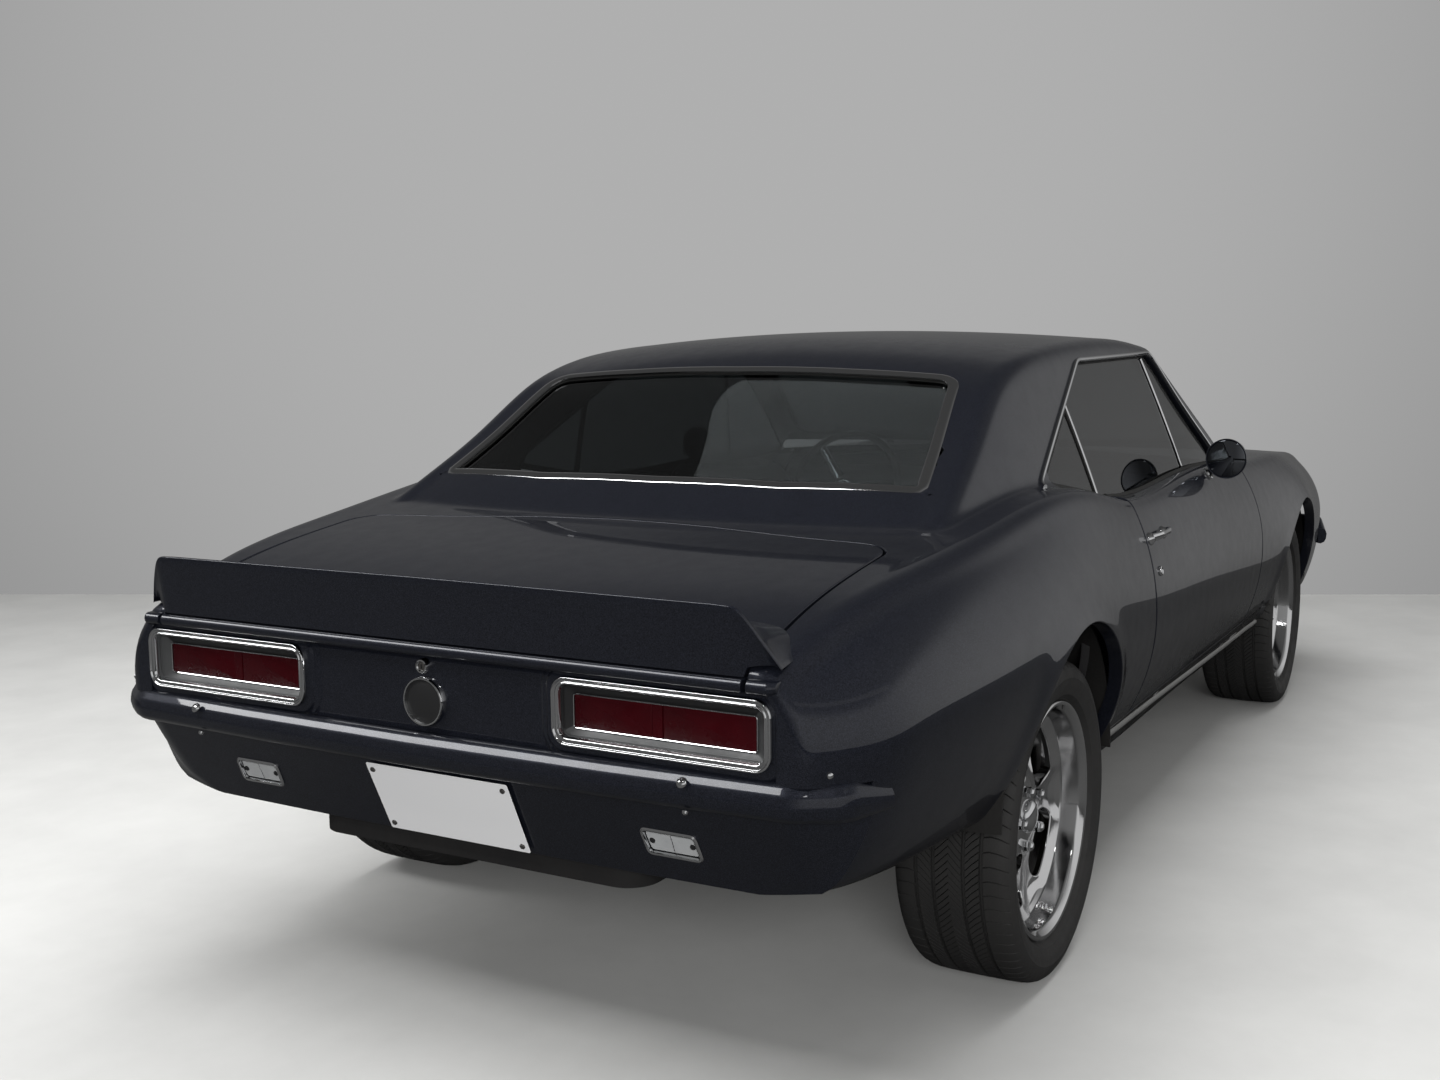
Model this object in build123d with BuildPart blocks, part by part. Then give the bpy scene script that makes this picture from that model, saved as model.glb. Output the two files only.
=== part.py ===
# Two-door muscle coupe of the late 1960s, at its real size, in millimetres.
# +X is forward, +Y is the car's left, +Z is up. The floor is Z = 0 and the origin
# lies on it, under the middle of the car's length and width.
from build123d import *
import os
from math import asin, cos, radians, sin, sqrt

os.makedirs("parts", exist_ok=True)

# Overall sizes
LENGTH = 4691
WHEELBASE = 2743
FRONT_OVERHANG = 932
NOSE_X = LENGTH / 2
FRONT_AXLE_X = NOSE_X - FRONT_OVERHANG
REAR_AXLE_X = FRONT_AXLE_X - WHEELBASE
TAIL_X = -2290

# Wheels and tyres
TYRE_R = 334
RIM_R = 250
WHEEL_Y = 749
WHEEL_Z = TYRE_R
STUD_CIRCLE_R = 60.3
STUD_HOLE_R = 6.5
SPINDLE_R = 22
BORE_PLAY = 0.5
STEER_Y = 686
STEER_PIN_R = 9
STEER_PLAY = 0.4
BALL_JOINT_RISE = 130

# Wheel arches: the visible lip, and the larger space inside it
ARCH_Z = 387
ARCH_R = 365
LIP_INNER_Y = 885
FRONT_HOUSE_R = 400
FRONT_HOUSE_Y = 446
REAR_HOUSE_R = 380
REAR_HOUSE_Y = 596
TUB_WALL = 9

# Wall thicknesses of the shell
SIDE_WALL = 85
TOP_WALL = 26
ROOF_WALL = 34
GLASS_SINK = 9
GLASS = 5
GLASS_FOOT_Z = 884

# Doors
DOOR_BOTTOM_Z = 421
ROCKER_TOP_Z = 414
HINGE_X = 785
HINGE_Y = 872
HINGE_GAP_R = 100
DOOR_REAR_X = -695
PANEL_GAP = 6

# Hood and deck lid
HOOD_AXIS_X = 826
HOOD_AXIS_Z = 958
HOOD_LENGTH = 1362
HOOD_HALF_REAR = 706
HOOD_HALF_FRONT = 652
LID_FRONT_X = -1638
LID_AXIS_X = LID_FRONT_X + 7
LID_AXIS_Z = 950
LID_HALF = 655
LID_LIP_Z = 779
LID_BOW_R = 3200

# Nose and tail
NOSE_FACE_X = 2290
NOSE_BOW_R = 3100
GRILLE_TOP_Z = 776
GRILLE_LOW_Z = 612
GRILLE_HALF = 772
TAIL_PANEL_LOW_Z = 584
TAIL_CORNER_Y = 702
FRONT_BUMPER_LOW = 498
FRONT_BUMPER_TOP = 604

# Body sections from nose to tail. Each row: x, bottom z, sill y, sill z, widest y,
# its z, y where the side rolls over, its z, y where the top begins, its z, centre z.
BODY_ROWS = [
    (2346, 300, 775, 335, 815, 600, 722, 765, 668, 792, 802),
    (2150, 295, 812, 335, 866, 620, 772, 818, 712, 848, 860),
    (1800, 285, 828, 341, 900, 655, 812, 852, 745, 882, 903),
    (1413, 280, 838, 348, 921, 700, 842, 872, 772, 906, 928),
    (1000, 283, 822, 354, 907, 672, 840, 882, 776, 914, 944),
    (690, 290, 822, 361, 902, 655, 834, 893, 776, 930, 955),
    (0, 300, 823, 377, 903, 655, 838, 912, 792, 941, 960),
    (-695, 305, 824, 392, 904, 662, 840, 926, 800, 943, 962),
    (-1082, 330, 828, 400, 914, 685, 845, 958, 796, 996, 1002),
    (-1400, 370, 836, 424, 921, 705, 826, 935, 768, 975, 981),
    (-1740, 396, 826, 440, 904, 694, 798, 898, 728, 930, 936),
    (-2060, 406, 788, 446, 866, 682, 752, 850, 690, 880, 888),
    (-2200, 410, 742, 450, 818, 672, 728, 808, 672, 840, 854),
    (-2290, 414, 686, 454, 742, 664, 706, 778, 655, 808, 826),
]

# Greenhouse sections. Each row: x, base y, top of the side y and z, start of the
# roof y and z, centre z. One table each for windscreen, roof and rear window.
GREENHOUSE_BASE_Z = 800
SCREEN_ROWS = [
    (790, 786, 776, 902, 744, 916, 944),
    (600, 790, 758, 997, 722, 1014, 1056),
    (380, 792, 710, 1138, 674, 1156, 1184),
    (140, 794, 672, 1274, 628, 1296, 1322),
]
ROOF_ROWS = [
    (140, 794, 672, 1274, 628, 1296, 1322),
    (-60, 796, 668, 1288, 614, 1314, 1339),
    (-380, 800, 664, 1288, 606, 1318, 1346),
    (-720, 806, 658, 1268, 598, 1300, 1334),
    (-1000, 812, 650, 1222, 590, 1256, 1294),
    (-1095, 812, 650, 1192, 590, 1222, 1258),
]
BACK_ROWS = [
    (-1095, 812, 650, 1192, 590, 1222, 1258),
    (-1280, 806, 668, 1086, 612, 1110, 1150),
    (-1480, 790, 690, 986, 634, 1000, 1033),
    (-1645, 770, 704, 906, 648, 912, 936),
]

# Side window opening: x and z of its corners, from the front
DLO_FRONT = (592, 942)
DLO_TOP_FRONT = (92, 1272)
DLO_TOP_REAR = (-590, 1262)
DLO_REAR = (-1082, 1001)
DIVISION_LOW = (-700, 936)
DIVISION_TOP = (-752, 1176)
VENT_LOW = (200, 936)
VENT_TOP = (16, 1274)


def widest_mid(widest, end):
    """Middle of the arc that leaves the widest point upright and runs to the end."""
    across = widest[0] - end[0]
    rise = end[1] - widest[1]
    radius = (across * across + rise * rise) / (2 * across)
    half = asin(rise / radius) / 2
    return (widest[0] - radius + radius * cos(half), widest[1] + radius * sin(half))


def bulge_mid(start, end, share):
    """Middle of an arc that stands off its chord by a share of the chord's length."""
    run = end[0] - start[0]
    rise = end[1] - start[1]
    middle = ((start[0] + end[0]) / 2, (start[1] + end[1]) / 2)
    return (middle[0] + rise * share, middle[1] - run * share)


def body_form(side=0.0, top=0.0, floor=0.0):
    """The lower body as one solid, with its sides, top and floor moved inward."""
    with BuildPart() as form:
        for x, zb, ys, zs, ym, zm, yt, zt, yr, zr, zc in BODY_ROWS:
            low_in = (ys - side - 60, zb + floor)
            sill = (ys - side, zs)
            widest = (ym - side, zm)
            roll = (yt - side, zt - top)
            edge = (yr - side, zr - top)
            with BuildSketch(Plane.YZ.offset(x)):
                with BuildLine():
                    Line((-low_in[0], low_in[1]), low_in)
                    for s in (1, -1):
                        low_mid = widest_mid(widest, sill)
                        high_mid = widest_mid(widest, roll)
                        roll_mid = bulge_mid(roll, edge, 0.16)
                        Line((s * low_in[0], low_in[1]), (s * sill[0], sill[1]))
                        ThreePointArc((s * sill[0], sill[1]), (s * low_mid[0], low_mid[1]),
                                      (s * widest[0], widest[1]))
                        ThreePointArc((s * widest[0], widest[1]), (s * high_mid[0], high_mid[1]),
                                      (s * roll[0], roll[1]))
                        ThreePointArc((s * roll[0], roll[1]), (s * roll_mid[0], roll_mid[1]),
                                      (s * edge[0], edge[1]))
                    ThreePointArc(edge, (0, zc - top), (-edge[0], edge[1]))
                make_face()
        loft()
    return form.part


def greenhouse_span(rows, inset):
    """One stretch of the upper body, moved inward by the inset."""
    with BuildPart() as span:
        for x, yb, y1, z1, y2, z2, zc in rows:
            base = (yb - inset, GREENHOUSE_BASE_Z)
            side = (y1 - inset, z1 - inset)
            rail = (y2 - inset, z2 - inset)
            with BuildSketch(Plane.YZ.offset(x)):
                with BuildLine():
                    Line((-base[0], base[1]), base)
                    for s in (1, -1):
                        side_mid = bulge_mid(base, side, 0.012)
                        rail_mid = bulge_mid(side, rail, 0.16)
                        ThreePointArc((s * base[0], base[1]), (s * side_mid[0], side_mid[1]),
                                      (s * side[0], side[1]))
                        ThreePointArc((s * side[0], side[1]), (s * rail_mid[0], rail_mid[1]),
                                      (s * rail[0], rail[1]))
                    ThreePointArc(rail, (0, zc - inset), (-rail[0], rail[1]))
                make_face()
        loft()
    return span.part


def greenhouse_form(inset=0.0):
    """The upper body from cowl to deck as one solid, moved inward by the inset."""
    spans = [greenhouse_span(rows, inset) for rows in (SCREEN_ROWS, ROOF_ROWS, BACK_ROWS)]
    with BuildPart() as form:
        for span in spans:
            add(span)
    return form.part


def plan_prism(points, z0, z1):
    """An upright prism over an outline in plan, given as x, y."""
    with BuildPart() as prism:
        with BuildSketch(Plane.XY.offset(z0)):
            with BuildLine():
                Polyline(*points, close=True)
            make_face()
        extrude(amount=z1 - z0)
    return prism.part


def side_prism(points, y0, y1):
    """A prism across the car over an outline seen from the side, given as x, z."""
    with BuildPart() as prism:
        with BuildSketch(Plane(origin=(0, y1, 0), x_dir=(1, 0, 0), z_dir=(0, -1, 0))):
            with BuildLine():
                Polyline(*points, close=True)
            make_face()
        extrude(amount=y1 - y0)
    return prism.part


def end_prism(points, x0, x1):
    """A prism along the car over an outline seen from its end, given as y, z."""
    with BuildPart() as prism:
        with BuildSketch(Plane.YZ.offset(x0)):
            with BuildLine():
                Polyline(*points, close=True)
            make_face()
        extrude(amount=x1 - x0)
    return prism.part


def block(x0, x1, y0, y1, z0, z1):
    """A box between six limits."""
    return plan_prism([(x0, y0), (x1, y0), (x1, y1), (x0, y1)], z0, z1)


def cross_cylinder(x, z, radius, y0, y1):
    """A cylinder across the car."""
    with BuildPart() as roller:
        with BuildSketch(Plane(origin=(x, y1, z), x_dir=(1, 0, 0), z_dir=(0, -1, 0))):
            Circle(radius)
        extrude(amount=y1 - y0)
    return roller.part


def upright_cylinder(x, y, radius, z0, z1):
    """An upright cylinder."""
    with BuildPart() as post:
        with BuildSketch(Plane.XY.offset(z0)):
            with Locations((x, y)):
                Circle(radius)
        extrude(amount=z1 - z0)
    return post.part


def bowed_prism(front_x, back_x, half, radius, z0, z1):
    """A prism whose front edge is an arc in plan, bowed forward."""
    reach = radius - sqrt(radius * radius - half * half)
    with BuildPart() as prism:
        with BuildSketch(Plane.XY.offset(z0)):
            with BuildLine():
                ThreePointArc((front_x - reach, -half), (front_x, 0), (front_x - reach, half))
                Polyline((front_x - reach, half), (back_x, half), (back_x, -half),
                         (front_x - reach, -half))
            make_face()
        extrude(amount=z1 - z0)
    return prism.part


def finish(piece, label):
    """Labels one finished piece and writes its file."""
    piece.part.label = label
    export_step(piece.part, f"parts/{label}.step")


def mirrored(piece, label):
    """Writes the same piece for the other side of the car."""
    with BuildPart() as other:
        mirror(piece.part, about=Plane.XZ)
    finish(other, label)
    return other


# Forms that the panels are cut from
outer = body_form()
core = body_form(side=SIDE_WALL, top=TOP_WALL, floor=-60)
side_core = body_form(side=SIDE_WALL, top=-90, floor=-60)
with BuildPart() as nose_limit:
    add(bowed_prism(NOSE_FACE_X, 600, 940, NOSE_BOW_R, 200, 1100))
with BuildPart() as walls:
    add(outer)
    add(core, mode=Mode.SUBTRACT)
with BuildPart() as side_walls:
    add(outer)
    add(side_core, mode=Mode.SUBTRACT)
cabin_out = greenhouse_form()
cabin_in = greenhouse_form(ROOF_WALL)

# The space inside each wheel arch, cut from every panel near it
with BuildPart() as arch_spaces:
    for axle_x, house_r, house_y in ((FRONT_AXLE_X, FRONT_HOUSE_R, FRONT_HOUSE_Y),
                                     (REAR_AXLE_X, REAR_HOUSE_R, REAR_HOUSE_Y)):
        for s in (1, -1):
            inner_end = sorted((s * house_y, s * LIP_INNER_Y))
            outer_end = sorted((s * LIP_INNER_Y, s * 1000))
            add(cross_cylinder(axle_x, ARCH_Z, house_r, *inner_end))
            add(cross_cylinder(axle_x, ARCH_Z, ARCH_R, *outer_end))

# Outlines of the hood and the deck lid in plan
hood_outline = plan_prism([(HOOD_AXIS_X + PANEL_GAP, -HOOD_HALF_REAR),
                           (2300, -HOOD_HALF_FRONT), (2300, HOOD_HALF_FRONT),
                           (HOOD_AXIS_X + PANEL_GAP, HOOD_HALF_REAR)], 700, 1100)
hood_space = plan_prism([(HOOD_AXIS_X, -HOOD_HALF_REAR - PANEL_GAP),
                         (2300, -HOOD_HALF_FRONT - PANEL_GAP),
                         (2300, HOOD_HALF_FRONT + PANEL_GAP),
                         (HOOD_AXIS_X, HOOD_HALF_REAR + PANEL_GAP)], 700, 1100)
hood_sweep = cross_cylinder(HOOD_AXIS_X, HOOD_AXIS_Z, HOOD_LENGTH, -900, 900)
hood_sweep_space = cross_cylinder(HOOD_AXIS_X, HOOD_AXIS_Z, HOOD_LENGTH + PANEL_GAP, -900, 900)
lid_outline = bowed_prism(LID_FRONT_X, -2400, LID_HALF, LID_BOW_R, 700, 1100)
lid_space = bowed_prism(LID_FRONT_X + PANEL_GAP, -2400, LID_HALF + PANEL_GAP, LID_BOW_R, 700, 1100)

# Floor pan with toe board, tunnel, seat kick-up, trunk floor and rockers
FLOOR_LINE = [(905, 905), (905, 640), (700, 352), (-480, 345), (-600, 470), (-1010, 560),
              (-1120, 640), (-1500, 640), (-1640, 520), (-2215, 512)]
FLOOR_SHEET = 14
# Bulkhead behind the rear seat and the shelf under the rear window
SHELF_LINE = [(-1500, 950), (-1200, 942), (-1142, 632), (-1132, 632), (-1190, 932), (-1500, 940)]
SHELF_HALF = 575
with BuildPart() as rockers:
    add(outer)
    add(body_form(side=112, top=-90, floor=-60), mode=Mode.SUBTRACT)
    add(block(-1000, 1060, -1000, 1000, 200, ROCKER_TOP_Z), mode=Mode.INTERSECT)
with BuildPart() as floor_pan:
    add(side_prism(FLOOR_LINE + [(x, z - FLOOR_SHEET) for x, z in reversed(FLOOR_LINE[2:])]
                   + [(905 + FLOOR_SHEET, 640), (905 + FLOOR_SHEET, 905)], -742, 742))
    add(body_form(side=SIDE_WALL + 2, top=TOP_WALL + 4, floor=-60), mode=Mode.INTERSECT)
    with BuildSketch(Plane.YZ.offset(-560)):
        with BuildLine():
            Polyline((-150, 338), (-95, 470), (95, 470), (150, 338), (138, 338), (84, 456),
                     (-84, 456), (-138, 338), close=True)
        make_face()
    extrude(amount=1480)
    with BuildSketch(Plane.YZ.offset(-560)):
        with BuildLine():
            Polyline((-137, 330), (-84, 455), (84, 455), (137, 330), close=True)
        make_face()
    extrude(amount=1480, mode=Mode.SUBTRACT)
    add(rockers.part)
    add(side_prism(SHELF_LINE, -SHELF_HALF, SHELF_HALF))
    for s in (1, -1):
        add(block(-960, 690, s * 731 - 20, s * 731 + 20, 338, 372))
        add(block(-730, -670, s * 545 - 28, s * 545 + 28, 394, 482))
        add(block(-2000, -1960, s * 545 - 28, s * 545 + 28, 422, 506))
    add(arch_spaces.part, mode=Mode.SUBTRACT)
finish(floor_pan, "floor_pan")

# Roof with windscreen pillars, sail panels and headers
screen_opening = plan_prism([(732, 0), (716, -330), (668, -560), (606, -694), (148, -590),
                             (160, 0), (148, 590), (606, 694), (668, 560), (716, 330)], 850, 1400)
back_opening = plan_prism([(-1104, 0), (-1097, -300), (-1084, -512), (-1108, -552),
                           (-1424, -604), (-1466, -590), (-1490, -300), (-1498, 0),
                           (-1490, 300), (-1466, 590), (-1424, 604), (-1108, 552),
                           (-1084, 512), (-1097, 300)], 850, 1400)
DLO = [DLO_FRONT, DLO_TOP_FRONT, DLO_TOP_REAR, DLO_REAR, DIVISION_LOW]
with BuildPart() as roof:
    add(cabin_out)
    add(cabin_in, mode=Mode.SUBTRACT)
    add(outer, mode=Mode.SUBTRACT)
    add(screen_opening, mode=Mode.SUBTRACT)
    add(back_opening, mode=Mode.SUBTRACT)
    for s in (1, -1):
        add(side_prism(DLO + [(-700, 850), (600, 850)], *sorted((s * 560, s * 900))),
            mode=Mode.SUBTRACT)
finish(roof, "roof")

# Fixed glass: windscreen, rear window and the two quarter windows
glass_out = greenhouse_form(GLASS_SINK)
glass_in = greenhouse_form(GLASS_SINK + GLASS)
with BuildPart() as pane_form:
    add(glass_out)
    add(glass_in, mode=Mode.SUBTRACT)
    add(outer, mode=Mode.SUBTRACT)
with BuildPart() as windshield:
    add(pane_form.part)
    add(screen_opening, mode=Mode.INTERSECT)
finish(windshield, "windshield")
with BuildPart() as rear_window:
    add(pane_form.part)
    add(back_opening, mode=Mode.INTERSECT)
finish(rear_window, "rear_window")
with BuildPart() as quarter_openings:
    for s in (1, -1):
        add(side_prism([(DIVISION_LOW[0] - 8, DIVISION_LOW[1]), (DIVISION_TOP[0] - 8, DIVISION_TOP[1] - 12),
                        (DLO_REAR[0] + 14, DLO_REAR[1])], *sorted((s * 560, s * 900))))
with BuildPart() as quarter_glass:
    add(pane_form.part)
    add(quarter_openings.part, mode=Mode.INTERSECT)
finish(quarter_glass, "quarter_glass")

# Doors: the whole thickness of the side, cut at the front by the hinge's sweep
door_plan = plan_prism([(DOOR_REAR_X, 600), (HINGE_X, 600), (HINGE_X, 1000), (DOOR_REAR_X, 1000)],
                       DOOR_BOTTOM_Z, 960)
with BuildPart() as glass_slot:
    add(greenhouse_form(GLASS_SINK - 1))
    add(greenhouse_form(GLASS_SINK + GLASS + 1), mode=Mode.SUBTRACT)
    add(block(-692, 640, 600, 900, 880, 1000), mode=Mode.INTERSECT)
with BuildPart() as door_left:
    add(side_walls.part)
    add(door_plan, mode=Mode.INTERSECT)
    add(upright_cylinder(HINGE_X, HINGE_Y, HINGE_GAP_R, 200, 1100), mode=Mode.SUBTRACT)
    add(block(HINGE_X - HINGE_GAP_R + 10, 900, 600, 1000, 200, 1100), mode=Mode.SUBTRACT)
    add(glass_slot.part, mode=Mode.SUBTRACT)
finish(door_left, "door_left")
door_right = mirrored(door_left, "door_right")

# Door glass: the main pane and the vent pane, standing in the door's slot
with BuildPart() as door_openings:
    add(side_prism([(VENT_LOW[0] - 5, GLASS_FOOT_Z), (VENT_TOP[0] - 6, VENT_TOP[1] - 8),
                    (DLO_TOP_REAR[0] + 6, DLO_TOP_REAR[1] - 6),
                    (DIVISION_TOP[0] + 8, DIVISION_TOP[1] - 6),
                    (DIVISION_LOW[0] + 10, GLASS_FOOT_Z)], 560, 900))
    add(side_prism([(VENT_LOW[0] + 5, GLASS_FOOT_Z), (VENT_TOP[0] + 6, VENT_TOP[1] - 8),
                    (DLO_TOP_FRONT[0] - 14, DLO_TOP_FRONT[1] - 8),
                    (DLO_FRONT[0] - 14, DLO_FRONT[1]), (DLO_FRONT[0] - 14, GLASS_FOOT_Z)], 560, 900))
with BuildPart() as door_glass_left:
    add(glass_out)
    add(glass_in, mode=Mode.SUBTRACT)
    add(door_openings.part, mode=Mode.INTERSECT)
finish(door_glass_left, "door_glass_left")
door_glass_right = mirrored(door_glass_left, "door_glass_right")

# Rear quarter panels with their wheel housings
with BuildPart() as rear_tub:
    add(cross_cylinder(REAR_AXLE_X, ARCH_Z, REAR_HOUSE_R + TUB_WALL, REAR_HOUSE_Y - TUB_WALL, 850))
    add(block(-1800, -900, 0, 1000, ROCKER_TOP_Z + 60, 1000), mode=Mode.INTERSECT)
with BuildPart() as quarter_panel_left:
    add(walls.part)
    add(block(TAIL_X, DOOR_REAR_X - PANEL_GAP - 1, 0, 1000, ROCKER_TOP_Z + 1, 1100),
        mode=Mode.INTERSECT)
    add(block(-1560, -600, 0, 694, 800, 1100), mode=Mode.SUBTRACT)
    add(block(-2400, -1500, 0, 300, 200, 1100), mode=Mode.SUBTRACT)
    add(lid_space, mode=Mode.SUBTRACT)
    add(plan_prism([(-1500, 0), (-1500, 694), (-1560, 690), (-1700, LID_HALF + PANEL_GAP),
                    (-1700, 0)], 800, 1100), mode=Mode.SUBTRACT)
    add(block(-2400, -2184, 0, TAIL_CORNER_Y, 200, 1000), mode=Mode.SUBTRACT)
    add(rear_tub.part)
    add(arch_spaces.part, mode=Mode.SUBTRACT)
    add(floor_pan.part, mode=Mode.SUBTRACT)
finish(quarter_panel_left, "quarter_panel_left")
quarter_panel_right = mirrored(quarter_panel_left, "quarter_panel_right")

# Filler panel between the rear window and the deck lid
with BuildPart() as deck_filler:
    add(walls.part)
    add(plan_prism([(-1500, -692), (-1500, 692), (-1560, 688), (-1698, LID_HALF + PANEL_GAP),
                    (-1698, -LID_HALF - PANEL_GAP), (-1560, -688)], 800, 1100), mode=Mode.INTERSECT)
    add(lid_space, mode=Mode.SUBTRACT)
finish(deck_filler, "deck_filler")

# Deck lid, with the lip that folds down over the tail panel
with BuildPart() as lid_lip:
    add(outer)
    add(block(TAIL_X, TAIL_X + 22, -LID_HALF, LID_HALF, LID_LIP_Z, 1000), mode=Mode.INTERSECT)
with BuildPart() as deck_lid:
    add(walls.part)
    add(lid_outline, mode=Mode.INTERSECT)
    add(block(-2400, -1600, -900, 900, LID_LIP_Z, 1100), mode=Mode.INTERSECT)
    add(lid_lip.part)
finish(deck_lid, "deck_lid")

# Rear spoiler, one moulding across the deck lid. Each row of its sections is a place across the
# car, the trailing edge's x and z, and the x and z of the foot at the front.
SPOILER_TOP_Z = 920
SPOILER_LOW_Z = 803
SPOILER_ROWS = [
    (0, -2300, SPOILER_TOP_Z, -2140, 866),
    (600, -2300, SPOILER_TOP_Z - 2, -2140, 860),
    (640, -2299, SPOILER_TOP_Z - 8, -2144, 856),
    (668, -2294, SPOILER_TOP_Z - 34, -2156, 848),
    (688, -2280, SPOILER_TOP_Z - 66, -2174, 838),
    (703, -2258, SPOILER_TOP_Z - 96, -2200, 818),
]
with BuildPart() as tip_room:
    add(body_form(side=-8, top=-8))
    add(block(-2400, -2000, -LID_HALF, LID_HALF, 700, 1000), mode=Mode.SUBTRACT)
with BuildPart() as spoiler:
    for y, edge_x, edge_z, foot_x, foot_z in [(-row[0], *row[1:]) for row in SPOILER_ROWS[:0:-1]] + SPOILER_ROWS:
        low_x = min(edge_x + 4, foot_x - 10)
        hollow = (edge_x + 7, (edge_z + SPOILER_LOW_Z) / 2)
        scoop = (0.62 * edge_x + 0.38 * foot_x, 0.45 * edge_z + 0.55 * foot_z - 3)
        with BuildSketch(Plane(origin=(0, y, 0), x_dir=(1, 0, 0), z_dir=(0, -1, 0))):
            with BuildLine():
                Line((foot_x - 6, SPOILER_LOW_Z), (low_x, SPOILER_LOW_Z))
                ThreePointArc((low_x, SPOILER_LOW_Z), hollow, (edge_x, edge_z - 4))
                Line((edge_x, edge_z - 4), (edge_x + 6, edge_z))
                ThreePointArc((edge_x + 6, edge_z), scoop, (foot_x, foot_z))
                Line((foot_x, foot_z), (foot_x - 6, SPOILER_LOW_Z))
            make_face()
    loft(ruled=True)
    add(outer, mode=Mode.SUBTRACT)
    add(deck_lid.part, mode=Mode.SUBTRACT)
    add(tip_room.part, mode=Mode.SUBTRACT)
finish(spoiler, "spoiler")

# Front fenders with their wheel housings
with BuildPart() as fender_low:
    add(walls.part)
    add(block(FRONT_AXLE_X + 300, 2400, 0, 1000, 200, ROCKER_TOP_Z + 1), mode=Mode.INTERSECT)
with BuildPart() as door_room:
    add(block(500, HINGE_X, 600, 1000, 200, 1100))
    add(upright_cylinder(HINGE_X, HINGE_Y, HINGE_GAP_R - PANEL_GAP, 200, 1100), mode=Mode.SUBTRACT)
with BuildPart() as front_tub:
    add(cross_cylinder(FRONT_AXLE_X, ARCH_Z, FRONT_HOUSE_R + TUB_WALL, FRONT_HOUSE_Y - TUB_WALL, 850))
    add(block(900, 1900, 0, 1000, 525, 1000), mode=Mode.INTERSECT)
with BuildPart() as front_fender_left:
    add(walls.part)
    add(block(HINGE_X - HINGE_GAP_R - 15, 2400, 0, 1000, ROCKER_TOP_Z + 1, 1100), mode=Mode.INTERSECT)
    add(fender_low.part)
    add(nose_limit.part, mode=Mode.INTERSECT)
    add(block(600, 2400, 0, 620, 200, 1100), mode=Mode.SUBTRACT)
    add(hood_space, mode=Mode.SUBTRACT)
    add(plan_prism([(600, 0), (HOOD_AXIS_X, 0), (HOOD_AXIS_X, HOOD_HALF_REAR + 10), (600, 716)], 700, 1100),
        mode=Mode.SUBTRACT)
    add(plan_prism([(2100, 0), (2400, 0), (2400, 655), (2100, HOOD_HALF_FRONT + 8)], 700, 1100),
        mode=Mode.SUBTRACT)
    add(door_room.part, mode=Mode.SUBTRACT)
    add(block(2130, 2400, 0, GRILLE_HALF, GRILLE_LOW_Z, GRILLE_TOP_Z), mode=Mode.SUBTRACT)
    add(block(2130, 2400, 0, GRILLE_HALF + 30, 200, 505), mode=Mode.SUBTRACT)
    add(block(2122, 2400, 0, 1000, FRONT_BUMPER_LOW - 3, FRONT_BUMPER_TOP + 3), mode=Mode.SUBTRACT)
    add(front_tub.part)
    add(arch_spaces.part, mode=Mode.SUBTRACT)
    add(floor_pan.part, mode=Mode.SUBTRACT)
finish(front_fender_left, "front_fender_left")
front_fender_right = mirrored(front_fender_left, "front_fender_right")

# Cowl panel between the hood, the windscreen and the fenders
with BuildPart() as cowl_panel:
    add(walls.part)
    add(plan_prism([(HOOD_AXIS_X - 1, -714), (HOOD_AXIS_X - 1, 714), (606, 714), (596, 700), (640, 560),
                    (690, 330), (706, 0), (690, -330), (640, -560), (596, -700), (606, -714)], 700, 1100),
        mode=Mode.INTERSECT)
finish(cowl_panel, "cowl_panel")

# Hood
with BuildPart() as hood:
    add(walls.part)
    add(hood_outline, mode=Mode.INTERSECT)
    add(hood_sweep, mode=Mode.INTERSECT)
finish(hood, "hood")

# Header panel above the grille
with BuildPart() as header_panel:
    add(outer)
    add(nose_limit.part, mode=Mode.INTERSECT)
    add(block(2100, 2400, -653, 653, GRILLE_TOP_Z + 1, 1000), mode=Mode.INTERSECT)
    add(hood_sweep_space, mode=Mode.SUBTRACT)
finish(header_panel, "header_panel")

# Grille: an egg-crate of thin bars in a frame across the whole nose
GRILLE_X = 2188
CRATE_WIDTH = 966
CELLS_ACROSS = 16
CELLS_UP = 6
CRATE_BAR = 5
FRAME_RAIL = 8
grille_mid_z = (GRILLE_LOW_Z + GRILLE_TOP_Z) / 2
grille_height = GRILLE_TOP_Z - GRILLE_LOW_Z
crate_height = grille_height - 2 * FRAME_RAIL - 2
cell_width = CRATE_WIDTH / CELLS_ACROSS
cell_height = crate_height / CELLS_UP
with BuildPart() as grille:
    with BuildSketch(Plane.YZ.offset(GRILLE_X - 4)):
        with Locations((0, grille_mid_z)):
            Rectangle(CRATE_WIDTH + CRATE_BAR, crate_height + CRATE_BAR)
            with GridLocations(cell_width, cell_height, CELLS_ACROSS, CELLS_UP):
                Rectangle(cell_width - CRATE_BAR, cell_height - CRATE_BAR, mode=Mode.SUBTRACT)
    extrude(amount=14)
    with BuildSketch(Plane.YZ.offset(GRILLE_X - 10)):
        with Locations((0, grille_mid_z)):
            RectangleRounded(2 * GRILLE_HALF, grille_height, 10)
            RectangleRounded(2 * (GRILLE_HALF - FRAME_RAIL), grille_height - 2 * FRAME_RAIL, 6,
                             mode=Mode.SUBTRACT)
    extrude(amount=8)
finish(grille, "grille")

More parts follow.
